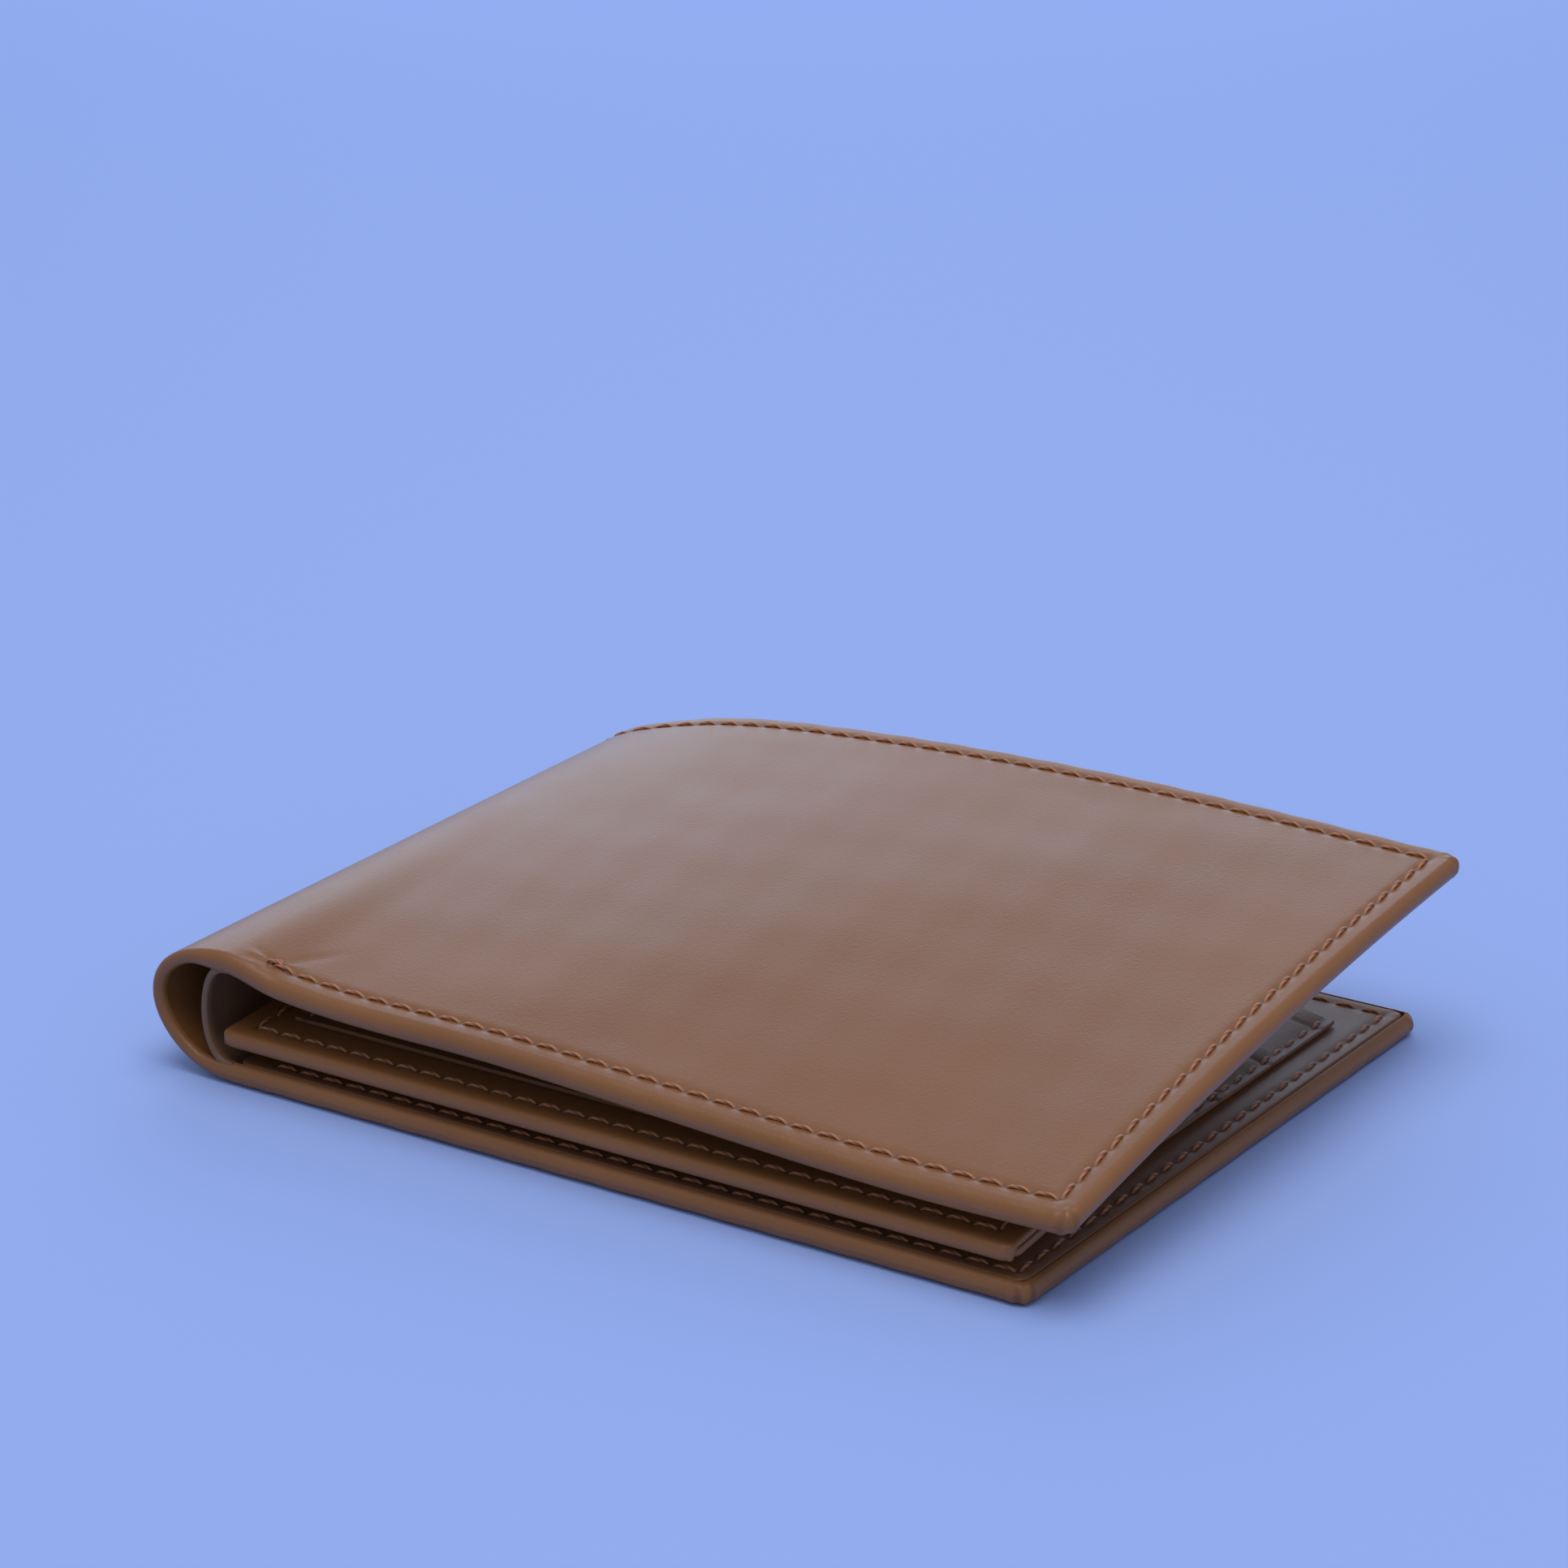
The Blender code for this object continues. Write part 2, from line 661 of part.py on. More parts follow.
def hinge_strip():
    """Leather web that the flap hangs from, sewn under the front card panel."""

    def top(x, y):
        return front_layer(x, y, RIM_STACK + CLEARANCE)

    def bottom(x, y):
        return x, flap_height(x, HINGE_Y) - FLAP_STACK / 2

    columns = spaced(FLAP_LEFT_X + STRIP_SHORTER, FLAP_RIGHT_X)
    rows = spaced(HINGE_Y, HINGE_Y + STRIP_DEPTH)
    data = sheet("flap_hinge_strip", "front_half", columns, rows, top, bottom)
    add_piece("flap_hinge_strip", "front_half", data, CARD_LEATHER)


def main():
    clear_scene()
    add_body("back_half", None, (0.0, 0.0, 0.0))
    parent = "back_half"
    chain = [f"spine_{k + 1}" for k in range(SPINE_SEGMENTS)] + ["front_half"]
    for name, at in zip(chain, joint_places(spine_face)):
        x, z = joint_line(at)
        add_body(name, parent, (x, 0.0, z))
        parent = name
    hinge_x = (FLAP_LEFT_X + FLAP_RIGHT_X) / 2
    hinge_z = flap_height(hinge_x, HINGE_Y) - FLAP_STACK / 2
    add_body("flap", "front_half", (hinge_x, HINGE_Y - HINGE_GAP / 2, hinge_z))
    covers()
    dividers()
    for half in (BACK, FRONT):
        card_panel(half)
        card_slots(half)
    flap()
    hinge_strip()


main()
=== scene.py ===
"""Looks of a smooth leather bifold wallet that lies closed and a little ajar.

The leather is modelled as turned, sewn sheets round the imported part, with every stitch as its own
twisted length of thread. The spine is four curved lengths, split evenly by its turn.
"""

import math
from collections import namedtuple

import bmesh
import bpy
import numpy as np
from bpy.props import FloatProperty, FloatVectorProperty, PointerProperty
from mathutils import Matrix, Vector


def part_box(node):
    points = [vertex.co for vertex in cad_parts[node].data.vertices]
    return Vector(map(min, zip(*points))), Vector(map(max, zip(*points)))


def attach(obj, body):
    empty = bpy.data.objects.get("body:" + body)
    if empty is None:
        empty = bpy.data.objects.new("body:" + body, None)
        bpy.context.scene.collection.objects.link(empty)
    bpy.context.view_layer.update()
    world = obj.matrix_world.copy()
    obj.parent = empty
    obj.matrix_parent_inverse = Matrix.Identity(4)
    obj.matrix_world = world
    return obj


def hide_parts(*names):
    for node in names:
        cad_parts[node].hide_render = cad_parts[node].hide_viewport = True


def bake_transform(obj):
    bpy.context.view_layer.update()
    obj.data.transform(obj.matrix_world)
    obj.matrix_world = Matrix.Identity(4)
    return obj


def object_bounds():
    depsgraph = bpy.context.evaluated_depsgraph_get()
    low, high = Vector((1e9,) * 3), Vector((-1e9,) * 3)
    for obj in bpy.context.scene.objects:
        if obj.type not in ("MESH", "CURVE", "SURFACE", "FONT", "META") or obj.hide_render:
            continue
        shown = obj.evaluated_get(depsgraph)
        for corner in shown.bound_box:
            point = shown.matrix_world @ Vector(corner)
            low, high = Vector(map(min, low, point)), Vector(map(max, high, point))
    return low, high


bl_info = {
    "name": "Leather Bifold Wallet",
    "version": (1, 0, 0),
    "blender": (4, 5, 0),
    "location": "View3D > Sidebar > Wallet",
    "description": "Builds the leather, slots, flap and stitching of a bifold wallet round its part",
    "category": "Object",
}

MM = 0.001

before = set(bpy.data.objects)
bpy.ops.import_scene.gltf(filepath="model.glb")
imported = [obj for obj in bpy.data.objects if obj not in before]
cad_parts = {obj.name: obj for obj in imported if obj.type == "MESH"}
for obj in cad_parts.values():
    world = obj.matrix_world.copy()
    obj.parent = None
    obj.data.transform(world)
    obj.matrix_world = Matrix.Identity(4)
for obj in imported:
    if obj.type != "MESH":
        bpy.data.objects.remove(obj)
CAD_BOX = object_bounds()


def node_box(name):
    """Lowest and highest corner of a node of the part, in millimetres."""
    return [[c / MM for c in corner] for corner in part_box(name)]


# Sizes in millimetres. Places come from the part's nodes.

COVER = 1.1
CLEARANCE = 0.2
DIVIDER = 0.4
PANEL = 0.6
POCKET = 0.45
FLAP_SKIN = 0.65
FLAP_CORE = 0.7
FLAP_CLEAR = 1.0
RIM_STACK = COVER + CLEARANCE + DIVIDER + CLEARANCE + PANEL
CARD_STACK = RIM_STACK + CLEARANCE + POCKET
FLAP_STACK = 2 * FLAP_SKIN + FLAP_CORE
CLOSED_STACK = 2 * CARD_STACK + FLAP_CLEAR + FLAP_STACK
BILL_SIDE = COVER + CLEARANCE
ROLL_RADIUS = RIM_STACK / 2 - 0.01

SPINE_X, NEAR_Y = [c / MM for c in CAD_BOX[0]][:2]
FRONT_EDGE, FAR_Y = [c / MM for c in CAD_BOX[1]][:2]
BACK_EDGE = node_box("back_cover")[1][0]
DEPTH = FAR_Y - NEAR_Y

# Air under the front half over the closed stack, at shares of its length, at its near and far edges
AIR_NEAR = ((0.0, 6.2), (0.07, 4.6), (0.35, 3.8), (0.82, 1.7), (1.0, 2.0))
AIR_FAR = ((0.0, 8.2), (0.1, 10.9), (0.31, 13.2), (0.63, 14.3), (1.0, 13.4))
CROWN_SLOPE_NEAR = 0.0
CROWN_SLOPE_FAR = 0.3

# Spine and the divider's turn inside it
FOOT_X = SPINE_X + 11.3
CROWN_X = SPINE_X + 10.3
WAIST_SHARE = 0.57
FAR_DRAW_IN = 1.3
FOOT_PULL = 6.5
WAIST_PULL = 4.0
JOINTS = 4
TURN_X = SPINE_X + 11.0
TURN_WAIST_NEAR = 6.8
TURN_WAIST_FAR = 4.3
TURN_PULL = 3.0
PANEL_X = TURN_X + 0.3
EDGE_MARGIN = 2.0
TURN_INSET = 0.45  # from the near and far edges to the turn's folded edges

# Flap
(FLAP_LEFT_X, FLAP_NEAR_Y, _), (FLAP_RIGHT_X, FLAP_FAR_Y, _) = node_box("flap_upper_leather")
HINGE_Y = node_box("flap_hinge_strip")[0][1]
STRIP_FAR_Y = node_box("flap_hinge_strip")[1][1]
HINGE_DROP = 0.6
FLAP_SAG = 0.35
WINDOW_LAP = 4.0
FLAP_ROLL = 1.4  # how far in the upper leather is rolled under at the near edge
WEB_THICK = 0.6
WEB_TONGUE = 4.0  # how far the hinge web runs in between the flap's leathers

# Turned edges and stitching
ROLL_WIDTH = 1.25  # how far in a cover is rolled round the whole rim
PANEL_INSET = ROLL_WIDTH + 0.03
PANEL_PROUD = 0.03  # how far the card panel stands over the roll beside it
SPINE_RIM = 1.6  # thickness of the spine's turned edges between the halves
FLAP_RIM_WIDTH = 1.9
RIM_GAP = 0.05
CORNER_RADIUS = 1.9
STITCH_INSET = 3.0
NEAR_STITCH = NEAR_Y + STITCH_INSET
FAR_STITCH = FAR_Y - STITCH_INSET
SEAM_X = SPINE_X + 15.3
GROOVE_WIDTH = 0.55
GROOVE_REACH = (-1.5, -0.95, -0.6, -0.3, 0.0, 0.3, 0.6, 0.95, 1.5)
STEP = 0.8  # mesh step of the leather
CARD_STEP = 1.1

# Slots
MOUTH_BEAD = 0.3
BEAD_WIDTH = 2.2
CREASE_FROM_MOUTH = 3.2
CREASE_DEPTH = 0.12
SIDE_SEAM_INSET = 1.3

CAMERA = (289.17, -442.17, 225.45)
CAMERA_TARGET = (-38.85, 53.78, 8.0)
LENS = 116.7
SENSOR = 36.0


# Settings


class WalletSizes(bpy.types.PropertyGroup):
    stitch_pitch: FloatProperty(
        name="Stitch pitch", description="Length of one stitch with its hole", default=3.25 * MM, unit="LENGTH"
    )
    thread: FloatProperty(
        name="Thread", description="Diameter of the sewing thread", default=0.44 * MM, unit="LENGTH"
    )
    groove: FloatProperty(
        name="Seam groove", description="How far a seam pulls the leather in", default=0.26 * MM, unit="LENGTH"
    )
    unevenness: FloatProperty(
        name="Unevenness", description="Height of the leather's soft waves", default=0.13 * MM, unit="LENGTH"
    )
    grain: FloatProperty(
        name="Grain", description="Size of one pebble of the leather's grain", default=0.42 * MM, unit="LENGTH"
    )


def colour_property(name, description, default):
    return FloatVectorProperty(
        name=name, description=description, default=default, size=3, min=0.0, max=1.0, subtype="COLOR"
    )


class WalletColours(bpy.types.PropertyGroup):
    cover: colour_property("Cover", "Smooth leather outside", (0.285, 0.110, 0.034))
    card: colour_property("Card side", "Leather of the panels and slots", (0.24, 0.095, 0.038))
    divider: colour_property("Divider", "Leather of the bill compartment", (0.22, 0.10, 0.048))
    thread: colour_property("Thread", "Sewing thread", (0.52, 0.18, 0.06))
    film: colour_property("Window", "Clear film of the flap's window", (0.78, 0.80, 0.80))
    floor: colour_property("Floor", "Floor that the wallet lies on", (0.40, 0.52, 0.93))


def sizes():
    return bpy.context.scene.wallet_sizes


def colours():
    return bpy.context.scene.wallet_colours


# Curves and surfaces. Each face gives (x, z) for arrays of places along it and of y.


def lerp(a, b, share):
    return a + (b - a) * share


def ease(low, high, value):
    """0 before low, 1 past high, and smooth between; low may be the greater."""
    t = np.clip((value - low) / (high - low), 0.0, 1.0)
    return t * t * (3 - 2 * t)


def through(points, x, first_slope):
    """Height at x of a smooth curve through the points, with this slope at its start."""
    xs, ys = np.array(points).T
    spans = np.diff(xs)
    chords = np.diff(ys) / spans
    slopes = np.concatenate([[first_slope], (chords[1:] + chords[:-1]) / 2, chords[-1:]])
    i = np.clip(np.searchsorted(xs, x, side="right") - 1, 0, len(chords) - 1)
    t = (x - xs[i]) / spans[i]
    heights = (1 + 2 * t) * (1 - t) ** 2 * ys[i] + (3 - 2 * t) * t**2 * ys[i + 1]
    return heights + spans[i] * (t * (1 - t) ** 2 * slopes[i] - (1 - t) * t**2 * slopes[i + 1])


def bezier(a, b, c, d, t):
    weights = ((1 - t) ** 3, 3 * t * (1 - t) ** 2, 3 * t * t * (1 - t), t**3)
    return tuple(sum(w * p[k] for w, p in zip(weights, (a, b, c, d))) for k in (0, 1))


def inward(curve, at, y, depth):
    """The point this deep under a curve's outer side."""
    step = 1e-3
    (x0, z0), (x1, z1) = curve(at - step, y), curve(at + step, y)
    length = np.hypot(x1 - x0, z1 - z0)
    x, z = curve(at, y)
    return x + (z1 - z0) / length * depth, z - (x1 - x0) / length * depth


def far_share(y):
    t = (y - NEAR_Y) / DEPTH
    return 1.5 * t - 0.5 * t * t


def front_height(x, y):
    length = FRONT_EDGE - CROWN_X
    share = (x - CROWN_X) / length
    near = through(AIR_NEAR, share, CROWN_SLOPE_NEAR * length)
    far = through(AIR_FAR, share, CROWN_SLOPE_FAR * length)
    return CLOSED_STACK + lerp(near, far, far_share(y))


def front_face(x, y):
    return x, front_height(x, y)


def front_layer(x, y, depth):
    return inward(front_face, x, y, depth)


def back_layer(x, y, depth):
    return x + 0 * depth, depth + 0 * x


def two_halves(at, lower, upper):
    """The lower Bezier's points up to at 1, and the upper one's from there to 2."""
    points = zip(bezier(*lower, np.minimum(at, 1.0)), bezier(*upper, np.maximum(at, 1.0) - 1.0))
    low_end, high_end = np.array(at) <= 1.0, np.array(at) > 1.0
    return tuple(np.where(low_end, low, 0.0) + np.where(high_end, high, 0.0) for low, high in points)


def spine_face(at, y):
    """Outside of the spine: 0 where it leaves the floor, 1 at its outermost line and 2 at the crown."""
    share = far_share(y)
    crown_z = front_height(CROWN_X, y)
    waist_x, waist_z = SPINE_X + FAR_DRAW_IN * share, WAIST_SHARE * crown_z
    slope = np.arctan(lerp(CROWN_SLOPE_NEAR, CROWN_SLOPE_FAR, share))
    before = (CROWN_X - FOOT_PULL * np.cos(slope), crown_z - FOOT_PULL * np.sin(slope))
    lower = (FOOT_X, 0.0), (FOOT_X - FOOT_PULL, 0.0), (waist_x, waist_z - WAIST_PULL), (waist_x, waist_z)
    upper = (waist_x, waist_z), (waist_x, waist_z + WAIST_PULL), before, (CROWN_X, crown_z)
    return two_halves(at, lower, upper)


def turn_face(at, y):
    """Spine side of the divider where it turns from the back half, at 0, to the front half, at 2."""
    top_x, top_z = front_layer(TURN_X + 0 * y, y, BILL_SIDE)
    next_x, next_z = front_layer(TURN_X + 0.1 + 0 * y, y, BILL_SIDE)
    waist_x = SPINE_X + lerp(TURN_WAIST_NEAR, TURN_WAIST_FAR, far_share(y))
    waist_z = (BILL_SIDE + top_z) / 2
    slope = np.arctan2(next_z - top_z, next_x - top_x)
    before = (top_x - TURN_PULL * np.cos(slope), top_z - TURN_PULL * np.sin(slope))
    foot = (TURN_X, BILL_SIDE), (TURN_X - TURN_PULL, BILL_SIDE)
    lower = *foot, (waist_x, waist_z - TURN_PULL), (waist_x, waist_z)
    upper = (waist_x, waist_z), (waist_x, waist_z + TURN_PULL), before, (top_x, top_z)
    return two_halves(at, lower, upper)


def spine_layer(at, y, depth):
    return inward(spine_face, at, y, depth)


def turn_layer(at, y, depth):
    return inward(turn_face, at, y, depth)


def flap_height(x, y):
    """Middle of the flap: just over the back half at its near edge, under the front half at its hinge."""
    low = CARD_STACK + FLAP_CLEAR + FLAP_STACK / 2
    under = CARD_STACK + HINGE_DROP + FLAP_STACK / 2
    ends = [front_height(end, HINGE_Y) - under for end in (CROWN_X, FLAP_RIGHT_X)]
    high = lerp(*ends, (x - CROWN_X) / (FLAP_RIGHT_X - CROWN_X))
    t = (y - NEAR_Y) / (HINGE_Y - NEAR_Y)
    return lerp(low, high, (1 - FLAP_SAG) * t + FLAP_SAG * t * t)


def flap_layer(x, y, depth):
    """Depth runs down from the flap's upper face."""
    return x + 0 * depth, flap_height(x, y) + FLAP_STACK / 2 - depth


def over_flap(x, y, height):
    """The same, with height running up from the flap's upper face."""
    return x + 0 * height, flap_height(x, y) + FLAP_STACK / 2 + height


def heading(curve, at):
    step = 1e-3
    (x0, z0), (x1, z1) = curve(at - step, 0.0), curve(at + step, 0.0)
    return math.atan2(z1 - z0, x0 - x1)


def length_ends(curve):
    """Where a turning curve's four lengths begin and end: midway, by its turn, between the joints."""
    whole = heading(curve, 1.998)
    ends = [0.0]
    for k in range(1, JOINTS):
        low, high = 0.002, 1.998
        while high - low > 1e-6:
            middle = (low + high) / 2
            if heading(curve, middle) < whole * k / JOINTS:
                low = middle
            else:
                high = middle
        ends.append(low)
    return [*ends, 2.0]


# A half of the wallet, with its layer function, open edge and the place where its flat leaf starts
Half = namedtuple("Half", "name layer edge leaf_start")
BACK = Half("back", back_layer, BACK_EDGE, FOOT_X)
FRONT = Half("front", front_layer, FRONT_EDGE, CROWN_X)
HALVES = (BACK, FRONT)

# One straight seam: which coordinate it holds, at what value, and where it runs from and to
Run = namedtuple("Run", "holds value start end")


def stitch_count(run_length):
    return max(1, round(run_length / (sizes().stitch_pitch / MM)))


def run_marks(run, c, y, count):
    """How strongly a seam pulls at places (c, y): most at its holes, less under its stitches."""
    across, along = (y - run.value, c) if run.holds == "y" else (c - run.value, y)
    share = (along - run.start) / (run.end - run.start)
    beyond = np.maximum(0.0, np.maximum(share - 1, -share)) * abs(run.end - run.start)
    pull = 0.72 + 0.28 * np.cos(2 * math.pi * share * count)
    return pull * np.exp(-((across / GROOVE_WIDTH) ** 2) - (beyond / GROOVE_WIDTH) ** 2)


def seam_marks(runs, c, y):
    marks = np.zeros(np.broadcast(c, y).shape)
    for run, count in runs:
        marks = np.maximum(marks, run_marks(run, c, y, count))
    return marks


def hole_marks(marks):
    """From how a seam pulls, how much painted shade it gets, mostly at its holes."""
    return 0.25 * marks + 0.75 * ease(0.6, 1.0, marks)


def counted(*runs):
    """Each run with its number of stitches, where places along it are millimetres."""
    return [(run, stitch_count(abs(run.end - run.start))) for run in runs]


# Meshes


def spaced(start, end, step):
    count = max(1, math.ceil(abs(end - start) / step - 1e-6))
    return [lerp(start, end, k / count) for k in range(count + 1)]


def lines(start, end, step, *fixed):
    """Mesh lines from start to end: the fixed ones, and others this far apart that don't crowd them."""
    held = sorted({round(v, 5) for group in fixed for v in group if start - 1e-6 <= v <= end + 1e-6})
    filling = [v for v in spaced(start, end, step) if all(abs(v - h) > 0.3 * step for h in held)]
    ends = [v for v in (start, end) if all(abs(v - h) > 1e-4 for h in held)]
    return np.array(sorted({*held, *filling, *ends}))


def round_lines(edge, inner_side, radius):
    """Lines over a rounded edge, at equal angles round it."""
    return [edge + inner_side * radius * (1 - math.cos(math.radians(a))) for a in range(0, 91, 15)]


def seam_lines(*centres):
    return [centre + reach for centre in centres for reach in GROOVE_REACH]


def edge_drop(distance, radius):
    """How far a face falls this close to an edge of this radius."""
    within = np.clip(radius - distance, 0.0, radius)
    return radius - np.sqrt(np.maximum(radius**2 - within**2, 0.0))


def round_corners(x, y, x_edges, y_edges, radius=CORNER_RADIUS):
    """Moves places near the outline's square corners on to round ones. x_edges may be one-sided."""
    new_x, new_y = x.copy(), y.copy()
    for side, x_edge in zip((-1, 1), x_edges):
        for up, y_edge in zip((-1, 1), y_edges):
            if x_edge is None or y_edge is None:
                continue
            u = radius - side * (x_edge - x)
            v = radius - up * (y_edge - y)
            near = (u > 1e-9) & (v > 1e-9)
            painted_end_highlight = np.where(near, np.maximum(u, v) / np.hypot(np.where(near, u, 1.0), v), 1.0)
            new_x = np.where(near, x_edge + side * (u * painted_end_highlight - radius), new_x)
            new_y = np.where(near, y_edge + up * (v * painted_end_highlight - radius), new_y)
    return new_x, new_y


def corner_pleats(x, y, x_edge, y_edges):
    """Small gathers that fan out from a turned corner, from -1 to 1."""
    pleats = np.zeros(x.shape)
    reach = 3.2
    for up, y_edge in zip((-1, 1), y_edges):
        u = np.clip(reach - (x_edge - x), 0.0, None)
        v = np.clip(reach - up * (y_edge - y), 0.0, None)
        both = 2 * u * v / np.maximum(u * u + v * v, 1e-9)
        fade = np.exp(-(reach - np.maximum(u, v)) / 0.9)
        pleats += both * fade * np.cos(13 * np.arctan2(v, u) + 0.8 * up)
    return pleats


def handling_creases(x, y):
    """Puckers round the near seam's first stitch, and the soft crease that runs in from there."""
    from_x, from_y = x - SEAM_X, y - NEAR_STITCH
    reach = np.hypot(from_x, from_y)
    puckers = 0.11 * np.cos(7 * np.arctan2(from_y, from_x)) * np.exp(-(((reach - 1.6) / 1.3) ** 2))
    along = (from_x + 1.3 * from_y) / math.hypot(1, 1.3)
    across = (from_y - 1.3 * from_x) / math.hypot(1, 1.3)
    crease = np.exp(-((across / 0.5) ** 2)) * ease(1.5, 3.5, along) * ease(10.0, 5.0, along)
    return puckers + 0.14 * crease


def ripple(x, y):
    """Soft waves of handled leather, from about -1 to 1."""
    slow = np.sin(0.105 * x + 0.6) * np.sin(0.085 * y + 1.3) + 0.5 * np.sin(0.19 * x - 0.13 * y)
    return 0.6 * slow + 0.25 * np.sin(0.37 * x + 0.29 * y + 0.4) * np.sin(0.23 * y - 0.41 * x)


def grid_mesh(name, columns, rows, face, marks, keep=None):
    """A closed sheet over a grid. face(c, y, side) gives x, y and z in millimetres for side 0 and 1."""
    c, y = np.meshgrid(columns, rows, indexing="ij")
    corners = np.array([np.stack(face(c, y, side), axis=-1) for side in (0, 1)]) * MM
    many, tall = len(columns), len(rows)
    index = np.arange(2 * many * tall).reshape(2, many, tall)
    kept = np.ones((many - 1, tall - 1), bool)
    if keep is not None:
        kept = keep((c[1:, 1:] + c[:-1, :-1]) / 2, (y[1:, 1:] + y[:-1, :-1]) / 2)
    i, j = np.nonzero(kept)
    ring = [(0, 0), (1, 0), (1, 1), (0, 1)]
    quads = [np.stack([index[0, i + a, j + b] for a, b in ring], axis=-1)]
    quads.append(np.stack([index[1, i + a, j + b] for a, b in reversed(ring)], axis=-1))
    framed = np.pad(kept, 1)
    beside = [(0, -1), (1, 0), (0, 1), (-1, 0)]
    for (di, dj), (a, b), (a2, b2) in zip(beside, ring, ring[1:] + ring[:1]):
        i, j = np.nonzero(kept & ~framed[1 + di : many + di, 1 + dj : tall + dj])
        wall = [index[0, i + a2, j + b2], index[0, i + a, j + b]]
        wall += [index[1, i + a, j + b], index[1, i + a2, j + b2]]
        quads.append(np.stack(wall, axis=-1))
    data = bpy.data.meshes.new(name)
    data.from_pydata(corners.reshape(-1, 3).tolist(), [], np.concatenate(quads).tolist())
    for label, values in marks(c, y).items():
        attribute = data.attributes.new(label, "FLOAT", "POINT")
        attribute.data.foreach_set("value", np.tile(values.ravel(), 2).astype(np.float32))
    return finished_mesh(data)


def finished_mesh(data):
    """Normals outwards, no loose points, and the places at rest kept for the materials."""
    mesh = bmesh.new()
    mesh.from_mesh(data)
    loose = [v for v in mesh.verts if not v.link_faces]
    bmesh.ops.delete(mesh, geom=loose, context="VERTS")
    bmesh.ops.recalc_face_normals(mesh, faces=mesh.faces)
    mesh.to_mesh(data)
    mesh.free()
    rest = np.zeros(len(data.vertices) * 3, np.float32)
    data.vertices.foreach_get("co", rest)
    data.attributes.new("rest", "FLOAT_VECTOR", "POINT").data.foreach_set("vector", rest)
    data.shade_smooth()
    data.set_sharp_from_angle(angle=math.radians(55))
    return data


def add_piece(name, data, material, slot, *nodes):
    piece = bpy.data.objects.new(name, data)
    bpy.context.scene.collection.objects.link(piece)
    data.materials.append(material)
    if nodes:
        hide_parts(*nodes)
    return piece


def blend_ends(points, first, last):
    """Where a curved length starts and stops turning, found from its two end rows."""
    start, end = points[first].mean(axis=0), points[last].mean(axis=0)
    along = end - start
    along[1] = 0.0
    reach = along @ along
    from_start = ((points[first] - start) @ along / reach).max()
    to_end = ((points[last] - start) @ along / reach).min()
    return start + along * from_start, start + along * to_end


# Shader node groups and materials


def node(tree, kind, **settings):
    made = tree.nodes.new(kind)
    for key, value in settings.items():
        setattr(made, key, value)
    return made


def put(made, **values):
    """Sets named input sockets, with _ for a space in a name."""
    for key, value in values.items():
        made.inputs[key.replace("_", " ")].default_value = value


def group(name, inputs, outputs):
    """An empty node group with these sockets: its tree, input node and output node."""
    tree = bpy.data.node_groups.new(name, "ShaderNodeTree")
    for label, kind, default in inputs:
        socket = tree.interface.new_socket(label, in_out="INPUT", socket_type=kind)
        if default is not None:
            socket.default_value = default
    for label, kind in outputs:
        tree.interface.new_socket(label, in_out="OUTPUT", socket_type=kind)
    return tree, tree.nodes.new("NodeGroupInput"), tree.nodes.new("NodeGroupOutput")


def maths(tree, operation, a, b=None):
    """The output of a Math node on two sockets or numbers."""
    made = node(tree, "ShaderNodeMath", operation=operation)
    for socket, value in zip(made.inputs, (a, b)):
        if isinstance(value, bpy.types.NodeSocket):
            tree.links.new(value, socket)
        elif value is not None:
            socket.default_value = value
    return made.outputs[0]


def mixed(tree, share, a, b, blend_type="MIX"):
    """The output of a Mix node on two colours, each a socket or a colour."""
    made = node(tree, "ShaderNodeMix", data_type="RGBA", blend_type=blend_type)
    for socket, value in ((made.inputs[0], share), (made.inputs[6], a), (made.inputs[7], b)):
        if isinstance(value, bpy.types.NodeSocket):
            tree.links.new(value, socket)
        else:
            socket.default_value = value
    return made.outputs[2]


